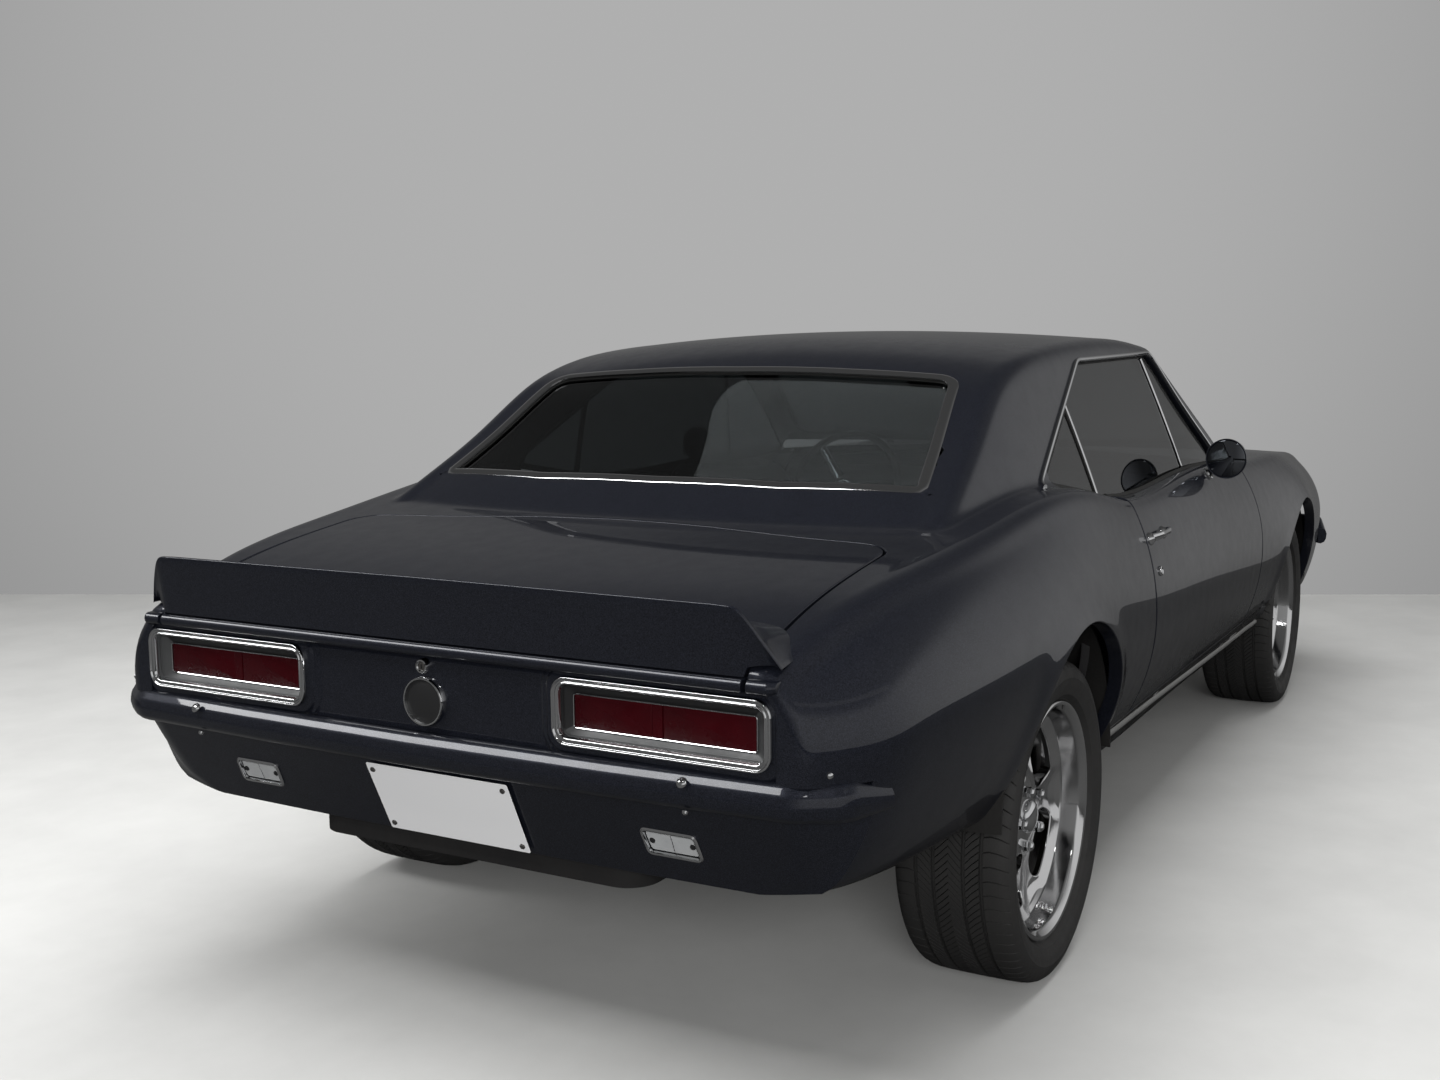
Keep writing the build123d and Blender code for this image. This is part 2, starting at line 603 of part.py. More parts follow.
# Headlamp covers: ribbed plates that close over the lamps at each end of the grille
COVER_Y = 629
COVER_WIDTH = 276
COVER_HEIGHT = 150
with BuildPart() as headlamp_covers:
    with BuildSketch(Plane.YZ.offset(GRILLE_X - 2)):
        with Locations((COVER_Y, grille_mid_z), (-COVER_Y, grille_mid_z)):
            RectangleRounded(COVER_WIDTH, COVER_HEIGHT, 8)
    extrude(amount=10)
    with BuildSketch(Plane.YZ.offset(GRILLE_X + 8)):
        with Locations((COVER_Y, grille_mid_z), (-COVER_Y, grille_mid_z)):
            with GridLocations(0, 26, 1, 5):
                SlotOverall(COVER_WIDTH - 20, 12)
    extrude(amount=7)
finish(headlamp_covers, "headlamp_covers")


def bumper_bar(outer_arcs, inner_arcs, levels, forward):
    """A bumper bar from its plan: per face the middle x, the corner's start, middle and tip.
    Each level is a height and how far the outer face leans back there."""
    middle_x, start, middle, tip = outer_arcs
    with BuildPart() as bar:
        for z, lean in levels:
            leaning = (middle_x - forward * lean,
                       (start[0] - forward * lean, start[1] - 0.4 * lean),
                       (middle[0] - forward * 0.7 * lean, middle[1] - 0.7 * lean),
                       (tip[0], tip[1] - lean))
            with BuildSketch(Plane.XY.offset(z)):
                with BuildLine():
                    for face_x, near, bend, end in (leaning, inner_arcs):
                        ThreePointArc((near[0], -near[1]), (face_x, 0), near)
                        for s in (1, -1):
                            ThreePointArc((near[0], s * near[1]), (bend[0], s * bend[1]), (end[0], s * end[1]))
                    for s in (1, -1):
                        Line((leaning[3][0], s * leaning[3][1]), (inner_arcs[3][0], s * inner_arcs[3][1]))
                make_face()
        loft(ruled=True)
    return bar.part


# Front bumper and the valance under it
IRON_Y = 380
with BuildPart() as front_bumper:
    add(bumper_bar((NOSE_X, (2258, 770), (2224, 850), (2130, 900)),
                   (NOSE_X - 30, (2232, 752), (2200, 828), (2130, 878)),
                   ((FRONT_BUMPER_LOW, 12), (FRONT_BUMPER_LOW + 14, 0), (FRONT_BUMPER_TOP - 30, 0),
                    (FRONT_BUMPER_TOP, 14)), 1))
    for s in (1, -1):
        add(block(2121, NOSE_X - 20, s * IRON_Y - 20, s * IRON_Y + 20, FRONT_BUMPER_LOW + 12,
                  FRONT_BUMPER_LOW + 42))
finish(front_bumper, "front_bumper")
with BuildPart() as front_valance:
    add(outer)
    add(bowed_prism(NOSE_FACE_X - 10, 2150, 860, NOSE_BOW_R, 200, 504), mode=Mode.INTERSECT)
    add(bowed_prism(NOSE_FACE_X - 40, 2000, 790, NOSE_BOW_R, 100, 700), mode=Mode.SUBTRACT)
    add(block(2100, 2400, -300, 300, 350, 440), mode=Mode.SUBTRACT)
    add(front_fender_left.part, mode=Mode.SUBTRACT)
    add(front_fender_right.part, mode=Mode.SUBTRACT)
finish(front_valance, "front_valance")

# Tail panel, recessed between the quarter panels, open at the lamps
LAMP_Y = 488.5
LAMP_WIDTH = 417
LAMP_Z = 711
LAMP_HEIGHT = 120
BEZEL_RIM = 13
LENS_DEPTH = 64
CAP_R = 40
with BuildPart() as tail_panel:
    add(block(-2272, -2258, -TAIL_CORNER_Y + 1, TAIL_CORNER_Y - 1, TAIL_PANEL_LOW_Z, LID_LIP_Z - 6))
    add(outer, mode=Mode.INTERSECT)
    with BuildSketch(Plane.YZ.offset(-2300)):
        with Locations((LAMP_Y, LAMP_Z), (-LAMP_Y, LAMP_Z)):
            RectangleRounded(LAMP_WIDTH - 20, LAMP_HEIGHT - 20, 12)
    extrude(amount=100, mode=Mode.SUBTRACT)
    with BuildSketch(Plane.YZ.offset(-2284)):
        with Locations((0, LAMP_Z - 18)):
            Circle(CAP_R)
    extrude(amount=14)
    with BuildSketch(Plane.YZ.offset(-2284)):
        with Locations((0, LAMP_Z - 18)):
            Circle(CAP_R - 6)
    extrude(amount=4, mode=Mode.SUBTRACT)
finish(tail_panel, "tail_panel")

# Tail-lamp bezels: deep frames with rounded corners
with BuildPart() as taillamp_bezels:
    with BuildSketch(Plane.YZ.offset(-2290)):
        with Locations((LAMP_Y, LAMP_Z), (-LAMP_Y, LAMP_Z)):
            RectangleRounded(LAMP_WIDTH, LAMP_HEIGHT, 18)
            RectangleRounded(LAMP_WIDTH - 2 * BEZEL_RIM, LAMP_HEIGHT - 2 * BEZEL_RIM, 9, mode=Mode.SUBTRACT)
    extrude(amount=17)
    add(outer, mode=Mode.INTERSECT)
finish(taillamp_bezels, "taillamp_bezels")

# Tail-lamp lenses, deep in their housings
with BuildPart() as taillamp_lenses:
    with BuildSketch(Plane.YZ.offset(-2258)):
        with Locations((LAMP_Y, LAMP_Z), (-LAMP_Y, LAMP_Z)):
            RectangleRounded(LAMP_WIDTH - 10, LAMP_HEIGHT - 10, 16)
            RectangleRounded(LAMP_WIDTH - 28, LAMP_HEIGHT - 28, 8, mode=Mode.SUBTRACT)
    extrude(amount=LENS_DEPTH - 10)
    with BuildSketch(Plane.YZ.offset(-2258 + LENS_DEPTH - 24)):
        with Locations((LAMP_Y, LAMP_Z), (-LAMP_Y, LAMP_Z)):
            RectangleRounded(LAMP_WIDTH - 28, LAMP_HEIGHT - 28, 8)
    extrude(amount=14)
finish(taillamp_lenses, "taillamp_lenses")

# Rear bumper and valance
BOLT_Y = 547
REAR_BUMPER_LOW = 583
REAR_BUMPER_TOP = 666
with BuildPart() as rear_bumper:
    add(bumper_bar((-NOSE_X, (-2318, 762), (-2290, 838), (-2195, 874)),
                   (-2312, (-2294, 742), (-2266, 808), (-2195, 852)),
                   ((REAR_BUMPER_LOW, 12), (REAR_BUMPER_LOW + 15, 2), (REAR_BUMPER_TOP - 30, 0),
                    (REAR_BUMPER_TOP, 14)), -1))
    for s in (1, -1):
        add(block(-2325, -2273, s * BOLT_Y - 20, s * BOLT_Y + 20, REAR_BUMPER_LOW + 12, REAR_BUMPER_LOW + 42))
finish(rear_bumper, "rear_bumper")
with BuildPart() as rear_valance:
    add(side_prism([(-2256, 582), (-2289, 582), (-2216, 424), (-2190, 424)], -TAIL_CORNER_Y + 1,
                   TAIL_CORNER_Y - 1))
    add(outer, mode=Mode.INTERSECT)
finish(rear_valance, "rear_valance")


def wheel_plane(x, side):
    """The upright plane through a wheel's axis, its first direction pointing outward."""
    return Plane(origin=(x, side * WHEEL_Y, WHEEL_Z), x_dir=(0, side, 0), z_dir=(side, 0, 0))


def wheel_axis(x):
    """The line that a wheel turns about."""
    return Axis((x, 0, WHEEL_Z), (0, 1, 0))


# Rim profile: distance outward from the wheel's centre plane, and radius
RIM_OUTLINE = [(105, 247), (98, RIM_R), (92, 232), (60, 229), (42, 209), (-28, 209), (-48, 229),
               (-95, 229), (-101, 247), (-110, 247), (-110, 238), (-102, 222), (-52, 222), (-32, 202),
               (38, 202), (60, 222), (96, 224), (105, 236)]
TYRE_OUTLINE = [(88, 232.5), (96, 252), (118, 280), (122, 300), (112, 322), (92, TYRE_R), (-92, TYRE_R),
                (-112, 322), (-122, 300), (-118, 280), (-96, 252), (-88, 232.5), (-76, 236), (-84, 252),
                (-104, 284), (-106, 298), (-88, 318), (88, 318), (106, 298), (104, 284), (84, 252), (76, 236)]
SPOKES = 5
wheels = {}
for end, axle_x in (("front", FRONT_AXLE_X), ("rear", REAR_AXLE_X)):
    for hand, side in (("left", 1), ("right", -1)):
        with BuildPart() as rim:
            with BuildSketch(wheel_plane(axle_x, side)):
                with BuildLine():
                    Polyline(*RIM_OUTLINE, close=True)
                make_face()
                with BuildLine():
                    Polyline((-14, SPINDLE_R + BORE_PLAY), (-14, 150), (-34, 150), (-34, 78), (-40, 60),
                             (-40, SPINDLE_R + BORE_PLAY), close=True)
                make_face()
                with BuildLine():
                    Polyline((-20, SPINDLE_R + BORE_PLAY), (-20, 78), (46, 78), (52, 70), (52, 36), (70, 32),
                             (74, 0), (52, 0), (52, SPINDLE_R + BORE_PLAY), close=True)
                make_face()
            revolve(axis=wheel_axis(axle_x))
            spoke_plane = Plane(origin=(axle_x, side * (WHEEL_Y + 14), WHEEL_Z), x_dir=(1, 0, 0),
                                z_dir=(0, side, 0))
            with BuildSketch(spoke_plane):
                with PolarLocations(0, SPOKES):
                    with BuildLine():
                        Line((60, -33), (60, 33))
                        ThreePointArc((60, 33), (132, 22), (206, 46))
                        Line((206, 46), (206, -46))
                        ThreePointArc((206, -46), (132, -22), (60, -33))
                    make_face()
            extrude(amount=26)
            with BuildSketch(spoke_plane.offset(60)):
                with PolarLocations(STUD_CIRCLE_R, SPOKES, start_angle=36):
                    Circle(STUD_HOLE_R)
            extrude(amount=-120, mode=Mode.SUBTRACT)
        finish(rim, f"wheel_{end}_{hand}")
        with BuildPart() as tyre:
            with BuildSketch(wheel_plane(axle_x, side)):
                with BuildLine():
                    Polyline(*TYRE_OUTLINE, close=True)
                make_face()
            revolve(axis=wheel_axis(axle_x))
        finish(tyre, f"tyre_{end}_{hand}")
        wheels[end, hand] = (rim, tyre)

# Steering knuckles: upright, spindle, steering arm and brake caliper
with BuildPart() as knuckle_left:
    with BuildSketch(Plane.XY.offset(WHEEL_Z - BALL_JOINT_RISE + 14)):
        with Locations((FRONT_AXLE_X, STEER_Y)):
            Circle(19)
    extrude(amount=2 * BALL_JOINT_RISE - 28)
    add(cross_cylinder(FRONT_AXLE_X, WHEEL_Z, SPINDLE_R, STEER_Y, WHEEL_Y + 48))
    add(block(FRONT_AXLE_X - 60, FRONT_AXLE_X + 60, STEER_Y - 9, STEER_Y + 5, WHEEL_Z - 60, WHEEL_Z + 60))
    add(block(FRONT_AXLE_X - 170, FRONT_AXLE_X, STEER_Y - 24, STEER_Y - 6, WHEEL_Z - 96, WHEEL_Z - 76))
    add(block(FRONT_AXLE_X - 176, FRONT_AXLE_X - 112, STEER_Y - 4, STEER_Y + 52, WHEEL_Z - 50, WHEEL_Z + 50))
    add(block(FRONT_AXLE_X - 130, FRONT_AXLE_X - 30, STEER_Y - 9, STEER_Y + 3, WHEEL_Z - 30, WHEEL_Z + 30))
    add(cross_cylinder(FRONT_AXLE_X, WHEEL_Z, 154, WHEEL_Y - 43, WHEEL_Y - 11), mode=Mode.SUBTRACT)
    add(cross_cylinder(FRONT_AXLE_X, WHEEL_Z, SPINDLE_R, WHEEL_Y - 40, WHEEL_Y + 48))
    for z in (WHEEL_Z - BALL_JOINT_RISE, WHEEL_Z + BALL_JOINT_RISE - 50):
        add(upright_cylinder(FRONT_AXLE_X, STEER_Y, STEER_PIN_R + STEER_PLAY, z, z + 50), mode=Mode.SUBTRACT)
finish(knuckle_left, "knuckle_left")
knuckle_right = mirrored(knuckle_left, "knuckle_right")

# Front subframe with its control arms, ball-joint studs, springs and the radiator
RADIATOR_X = 2062
RADIATOR_WIDTH = 640
with BuildPart() as front_subframe:
    for s in (1, -1):
        add(plan_prism([(760, s * 330), (760, s * 400), (1150, s * 440), (2130, s * 440), (2130, s * 360),
                        (1150, s * 360)], 250, 320))
        for z, rise in ((WHEEL_Z - BALL_JOINT_RISE - 16, 16), (WHEEL_Z + BALL_JOINT_RISE, 12)):
            add(plan_prism([(FRONT_AXLE_X - 150, s * 400), (FRONT_AXLE_X - 24, s * (STEER_Y + 16)),
                            (FRONT_AXLE_X + 24, s * (STEER_Y + 16)), (FRONT_AXLE_X + 150, s * 400),
                            (FRONT_AXLE_X + 110, s * 400), (FRONT_AXLE_X, s * (STEER_Y - 70)),
                            (FRONT_AXLE_X - 110, s * 400)], z, z + rise))
        add(upright_cylinder(FRONT_AXLE_X, s * STEER_Y, STEER_PIN_R, WHEEL_Z - BALL_JOINT_RISE - 2,
                             WHEEL_Z - BALL_JOINT_RISE + 46))
        add(upright_cylinder(FRONT_AXLE_X, s * STEER_Y, STEER_PIN_R, WHEEL_Z + BALL_JOINT_RISE - 46,
                             WHEEL_Z + BALL_JOINT_RISE + 2))
        add(block(FRONT_AXLE_X - 160, FRONT_AXLE_X + 160, *sorted((s * 380, s * 415)), 186,
                  WHEEL_Z + BALL_JOINT_RISE + 30))
    add(block(FRONT_AXLE_X - 90, FRONT_AXLE_X + 90, -400, 400, 215, 285))
    add(block(2060, 2120, -440, 440, 262, 312))
    for s in (1, -1):
        add(block(2090, 2120, s * IRON_Y - 20, s * IRON_Y + 20, 300, FRONT_BUMPER_LOW + 42))
    with BuildSketch(Plane.YZ.offset(RADIATOR_X)):
        with Locations((0, 535)):
            RectangleRounded(RADIATOR_WIDTH, 446, 14)
    extrude(amount=48)
finish(front_subframe, "front_subframe")

# Engine and gearbox: a V8 with two leaning banks, valve covers, a round air cleaner and a pulley
ENGINE_REAR_X = 980
ENGINE_LENGTH = 540
CRANK_Z = 400
SUMP_Z = 285
BANK_LEAN = 45
with BuildPart() as engine:
    with BuildSketch(Plane.YZ.offset(ENGINE_REAR_X)):
        with BuildLine():
            Polyline((-120, SUMP_Z), (120, SUMP_Z), (150, CRANK_Z), (110, 560), (-110, 560), (-150, CRANK_Z),
                     close=True)
        make_face()
        for s in (1, -1):
            with Locations(Location((0, CRANK_Z, 0), (0, 0, -s * BANK_LEAN))):
                with Locations((0, 150)):
                    Rectangle(150, 230)
    extrude(amount=ENGINE_LENGTH)
    for s in (1, -1):
        bank = Plane(origin=(ENGINE_REAR_X + 20, 0, CRANK_Z), x_dir=(1, 0, 0),
                     z_dir=(0, s * sin(radians(BANK_LEAN)), cos(radians(BANK_LEAN))))
        with BuildSketch(bank.offset(265)):
            with Locations((ENGINE_LENGTH / 2 - 20, 0)):
                RectangleRounded(ENGINE_LENGTH - 40, 120, 20)
        extrude(amount=55, taper=8)
    with BuildSketch(Plane.XY.offset(550)):
        with Locations((ENGINE_REAR_X + 270, 0)):
            Rectangle(380, 150)
    extrude(amount=90)
    with BuildSketch(Plane.XY.offset(640)):
        with Locations((ENGINE_REAR_X + 270, 0)):
            Circle(50)
    extrude(amount=62)
    with BuildSketch(Plane.XY.offset(700)):
        with Locations((ENGINE_REAR_X + 270, 0)):
            Circle(178)
    extrude(amount=62)
    with BuildSketch(Plane.YZ.offset(ENGINE_REAR_X + ENGINE_LENGTH)):
        with Locations((0, CRANK_Z)):
            Circle(84)
        with Locations((0, CRANK_Z + 150)):
            Circle(72)
    extrude(amount=44)
    with BuildSketch(Plane.YZ.offset(ENGINE_REAR_X)):
        with Locations((0, 368)):
            RectangleRounded(240, 166, 60)
    with BuildSketch(Plane.YZ.offset(ENGINE_REAR_X - 180)):
        with Locations((0, 360)):
            RectangleRounded(160, 140, 50)
    with BuildSketch(Plane.YZ.offset(540)):
        with Locations((0, 350)):
            RectangleRounded(120, 110, 40)
    loft(ruled=True)
finish(engine, "engine")

# Rear axle with its differential, springs and the drive shaft
with BuildPart() as rear_axle:
    add(cross_cylinder(REAR_AXLE_X, WHEEL_Z, 38, -WHEEL_Y + 42, WHEEL_Y - 42))
    add(cross_cylinder(REAR_AXLE_X, WHEEL_Z, SPINDLE_R, -WHEEL_Y - 48, WHEEL_Y + 48))
    add(cross_cylinder(REAR_AXLE_X, WHEEL_Z, 132, -95, 95))
    with BuildSketch(Plane.YZ.offset(REAR_AXLE_X)):
        with Locations((0, WHEEL_Z)):
            Circle(38)
    extrude(amount=1860)
    for s in (1, -1):
        with BuildSketch(Plane(origin=(0, s * 545 + 32, 0), x_dir=(1, 0, 0), z_dir=(0, -1, 0))):
            with BuildLine():
                ThreePointArc((-700, 372), (REAR_AXLE_X, 296), (-1980, 400))
                Line((-1980, 400), (-1980, 422))
                ThreePointArc((-1980, 422), (REAR_AXLE_X, 322), (-700, 394))
                Line((-700, 394), (-700, 372))
            make_face()
        extrude(amount=64)
finish(rear_axle, "rear_axle")

# Fuel tank under the trunk floor: two pressings joined at a flange, on four pads
TANK_X = -1945
with BuildPart() as fuel_tank:
    with BuildSketch(Plane.XY.offset(372)):
        with Locations((TANK_X, 0)):
            RectangleRounded(450, 760, 60)
    extrude(amount=122)
    with BuildSketch(Plane.XY.offset(438)):
        with Locations((TANK_X, 0)):
            RectangleRounded(476, 786, 72)
    extrude(amount=6)
    for s in (1, -1):
        add(upright_cylinder(TANK_X + 185, s * 300, 15, 490, 510))
        add(upright_cylinder(TANK_X - 185, s * 300, 15, 490, 510))
    add(floor_pan.part, mode=Mode.SUBTRACT)
finish(fuel_tank, "fuel_tank")

# Front seats, rear seat and dashboard
SEAT_SIDE = [(-420, 362), (60, 362), (110, 520), (90, 566), (-250, 520), (-390, 980), (-470, 1010), (-500, 980),
             (-440, 500)]
with BuildPart() as front_seats:
    for s in (1, -1):
        with BuildSketch(Plane(origin=(0, s * 405 + 235, 0), x_dir=(1, 0, 0), z_dir=(0, -1, 0))) as seat_side:
            with BuildLine():
                Polyline(*SEAT_SIDE, close=True)
            make_face()
            fillet(seat_side.vertices(), radius=12)
        extrude(amount=470)
finish(front_seats, "front_seats")
REAR_SEAT_SIDE = [(-1000, 566), (-660, 492), (-560, 480), (-560, 560), (-640, 610), (-940, 600), (-1100, 930),
                  (-1170, 930), (-1130, 650), (-1108, 645)]
with BuildPart() as rear_seat:
    add(side_prism(REAR_SEAT_SIDE, -570, 570))
finish(rear_seat, "rear_seat")

# Dashboard with the steering column
COLUMN_Y = 370
WHEEL_CENTRE = (300, COLUMN_Y, 830)
COLUMN_TILT = 22
column_out = Plane(origin=WHEEL_CENTRE, x_dir=(0, 1, 0),
                   z_dir=(-cos(radians(COLUMN_TILT)), 0, sin(radians(COLUMN_TILT))))
with BuildPart() as dashboard:
    with BuildSketch(Plane(origin=(0, 700, 0), x_dir=(1, 0, 0), z_dir=(0, -1, 0))) as dash_side:
        with BuildLine():
            Polyline((520, 700), (500, 800), (520, 862), (600, 882), (740, 868), (740, 700), close=True)
        make_face()
        fillet(dash_side.vertices(), radius=14)
    extrude(amount=1400)
    with BuildSketch(column_out.offset(-420)):
        Circle(24)
    extrude(amount=380)
    with BuildSketch(column_out.offset(-60)):
        Circle(9)
    extrude(amount=64)
finish(dashboard, "dashboard")

# Steering wheel
with BuildPart() as steering_wheel:
    with BuildSketch(Plane(origin=WHEEL_CENTRE, x_dir=column_out.z_dir, z_dir=(0, 1, 0))):
        with Locations((0, 188)):
            Circle(13)
    revolve(axis=Axis(WHEEL_CENTRE, tuple(column_out.z_dir)))
    with BuildSketch(column_out.offset(-14)):
        Circle(48)
        for turn in (0, 120, 240):
            with Locations(Rotation(0, 0, turn + 90)):
                with Locations((95, 0)):
                    Rectangle(180, 26)
        Circle(9.4, mode=Mode.SUBTRACT)
    extrude(amount=14)
finish(steering_wheel, "steering_wheel")

# Round door mirrors on short stalks
MIRROR_AT = (186, 878, 974)
with BuildPart() as mirror_left:
    with BuildSketch(Plane.YZ.offset(MIRROR_AT[0])):
        with Locations((MIRROR_AT[1], MIRROR_AT[2])):
            Circle(57)
    extrude(amount=34, taper=24)
    with BuildSketch(Plane(origin=(204, 818, 936), x_dir=(1, 0, 0), z_dir=(0, 52, 44))):
        Circle(9)
    extrude(amount=60)
    add(door_left.part, mode=Mode.SUBTRACT)
finish(mirror_left, "mirror_left")
mirror_right = mirrored(mirror_left, "mirror_right")

# Exhaust: a pipe and silencer each side of the tunnel, hung from the floor
with BuildPart() as exhaust:
    for s in (1, -1):
        with BuildSketch(Plane.YZ.offset(-560)):
            with Locations((s * 210, 276)):
                Circle(30)
        extrude(amount=1500)
        with BuildSketch(Plane.YZ.offset(-700)):
            with Locations((s * 210, 276)):
                Ellipse(110, 50)
        extrude(amount=520)
        add(block(-405, -395, s * 210 - 8, s * 210 + 8, 296, 331.4))
        add(block(495, 505, s * 210 - 8, s * 210 + 8, 296, 336.7))
finish(exhaust, "exhaust")
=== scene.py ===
import math
import bmesh
import bpy
import numpy as np
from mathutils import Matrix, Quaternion, Vector


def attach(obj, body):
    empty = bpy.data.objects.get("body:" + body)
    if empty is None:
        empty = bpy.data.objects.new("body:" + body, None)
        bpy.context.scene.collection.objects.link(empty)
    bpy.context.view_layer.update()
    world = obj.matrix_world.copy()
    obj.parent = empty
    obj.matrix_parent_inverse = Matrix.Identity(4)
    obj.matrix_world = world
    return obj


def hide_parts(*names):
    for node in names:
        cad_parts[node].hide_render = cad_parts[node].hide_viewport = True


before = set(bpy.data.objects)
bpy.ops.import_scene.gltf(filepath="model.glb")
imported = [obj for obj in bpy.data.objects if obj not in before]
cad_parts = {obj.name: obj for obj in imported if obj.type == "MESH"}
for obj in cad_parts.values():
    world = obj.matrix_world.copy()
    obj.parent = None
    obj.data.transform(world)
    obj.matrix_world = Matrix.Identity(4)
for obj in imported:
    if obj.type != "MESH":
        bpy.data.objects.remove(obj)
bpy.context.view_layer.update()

# Under the floor
# The floor pan, subframe, axle, tank and pipes are pressed or welded steel, painted satin black
# or left bare, and dulled by road dust. They keep their CAD shapes and get real surfaces here.


def node_group(name, inputs, outputs):
    """An empty shader node group with named sockets, and its input and output nodes."""
    group = bpy.data.node_groups.new(name, "ShaderNodeTree")
    for label, kind, value in inputs:
        socket = group.interface.new_socket(label, in_out="INPUT", socket_type="NodeSocket" + kind)
        socket.default_value = value
    for label, kind in outputs:
        group.interface.new_socket(label, in_out="OUTPUT", socket_type="NodeSocket" + kind)
    return group, group.nodes.new("NodeGroupInput"), group.nodes.new("NodeGroupOutput")


def add_node(tree, kind, sockets=(), **settings):
    """A node with its settings, and its sockets' values by name."""
    node = tree.nodes.new("ShaderNode" + kind)
    for key, value in settings.items():
        setattr(node, key, value)
    for label, value in dict(sockets).items():
        node.inputs[label].default_value = value
    return node


def wire(tree, *links):
    """Joins nodes, each link given as a node, its output, the next node and its input."""
    for start, output, end, socket in links:
        tree.links.new(start.outputs[output], end.inputs[socket])


def make_mottle():
    """Two tones in soft patches, a roughness that drifts between limits, and a fine grain."""
    group, given, gives = node_group(
        "mottle",
        [("Tone", "Color", (0.5, 0.5, 0.5, 1)), ("Other Tone", "Color", (0.4, 0.4, 0.4, 1)),
         ("Patch Scale", "Float", 6.0), ("Rough Low", "Float", 0.3), ("Rough High", "Float", 0.5),
         ("Grain Scale", "Float", 200.0)],
        [("Color", "Color"), ("Roughness", "Float"), ("Height", "Float")])
    place = add_node(group, "TexCoord")
    patch = add_node(group, "TexNoise", {"Detail": 5.0, "Roughness": 0.62})
    drift = add_node(group, "TexNoise", {"Detail": 3.0, "Scale": 23.0})
    grain = add_node(group, "TexNoise", {"Detail": 2.0})
    tone = add_node(group, "Mix", data_type="RGBA")
    rough = add_node(group, "MapRange", {"From Min": 0.3, "From Max": 0.7})
    wire(group, (place, "Object", patch, "Vector"), (place, "Object", drift, "Vector"),
         (place, "Object", grain, "Vector"), (given, "Patch Scale", patch, "Scale"),
         (given, "Grain Scale", grain, "Scale"), (patch, "Fac", tone, "Factor"), (given, "Tone", tone, "A"),
         (given, "Other Tone", tone, "B"), (drift, "Fac", rough, "Value"),
         (given, "Rough Low", rough, "To Min"), (given, "Rough High", rough, "To Max"),
         (tone, "Result", gives, "Color"), (rough, "Result", gives, "Roughness"),
         (grain, "Fac", gives, "Height"))
    return group


mottle = make_mottle()


def principled(name, shader_values):
    """A material, its node tree and its shader, with some of the shader's values set."""
    material = bpy.data.materials.new(name)
    material.use_nodes = True
    shader = material.node_tree.nodes["Principled BSDF"]
    for label, value in shader_values.items():
        shader.inputs[label.replace("_", " ")].default_value = value
    return material, material.node_tree, shader


def finish(name, tone, other, rough, grain, patch=6.0, relief=0.1, **shader_values):
    """A material of two near tones with drifting roughness and a fine grain in its surface."""
    material, tree, shader = principled(name, shader_values)
    film = add_node(tree, "Group", {"Tone": (*tone, 1), "Other Tone": (*other, 1), "Patch Scale": patch,
                                    "Rough Low": rough[0], "Rough High": rough[1], "Grain Scale": grain},
                    node_tree=mottle)
    bump = add_node(tree, "Bump", {"Strength": relief, "Distance": 0.001})
    wire(tree, (film, "Height", bump, "Height"), (film, "Color", shader, "Base Color"),
         (film, "Roughness", shader, "Roughness"), (bump, "Normal", shader, "Normal"))
    return material


def refinish(material, *nodes):
    """Gives CAD nodes that stay visible their finish."""
    for node in nodes:
        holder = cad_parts[node]
        if not holder.material_slots:
            holder.data.materials.append(material)
        for place in holder.material_slots:
            place.material = material


chassis_black = finish("chassis_black", (0.010, 0.010, 0.011), (0.022, 0.021, 0.02), (0.5, 0.8), 90.0,
                       relief=0.3, Specular_IOR_Level=0.25)
cast_metal = finish("cast_metal", (0.08, 0.078, 0.075), (0.13, 0.11, 0.09), (0.45, 0.8), 260.0,
                    relief=0.6, Metallic=0.7)
bare_steel = finish("bare_steel", (0.22, 0.21, 0.20), (0.10, 0.095, 0.09), (0.35, 0.65), 120.0, Metallic=0.9)
refinish(chassis_black, "floor_pan", "front_subframe", "fuel_tank")
refinish(cast_metal, "engine", "rear_axle", "knuckle_left", "knuckle_right")
refinish(bare_steel, "exhaust")

# Body shell: the forms
# Thin pressed steel over one flowing shape. Every outer panel is cut from the same sections, and
# joined where no gap shows by welds that are filled and rubbed down.
# From nose to tail, in millimetres: x, bottom z, sill y and z, widest y and z, roll-over y and z,
# top edge y and z, centre z.
BODY_SECTIONS = [
    (2346, 300, 775, 335, 815, 600, 722, 765, 668, 792, 802),
    (2150, 295, 812, 335, 866, 620, 772, 818, 712, 848, 860),
    (1800, 285, 828, 341, 900, 655, 812, 852, 745, 882, 903),
    (1413, 280, 838, 348, 921, 700, 842, 872, 772, 906, 928),
    (1000, 283, 822, 354, 907, 672, 840, 882, 776, 914, 944),
    (690, 290, 822, 361, 902, 655, 834, 893, 776, 930, 955),
    (0, 300, 823, 377, 903, 655, 838, 912, 792, 941, 960),
    (-695, 305, 824, 392, 904, 662, 840, 926, 800, 943, 962),
    (-1082, 330, 828, 400, 914, 685, 845, 958, 796, 996, 1002),
    (-1400, 370, 836, 424, 921, 705, 826, 935, 768, 975, 981),
    (-1740, 396, 826, 440, 904, 694, 798, 898, 728, 930, 936),
    (-2060, 406, 788, 446, 866, 682, 752, 850, 690, 880, 888),
    (-2200, 410, 742, 450, 818, 672, 728, 808, 672, 840, 854),
    (-2290, 414, 686, 454, 742, 664, 706, 778, 655, 808, 826),
]
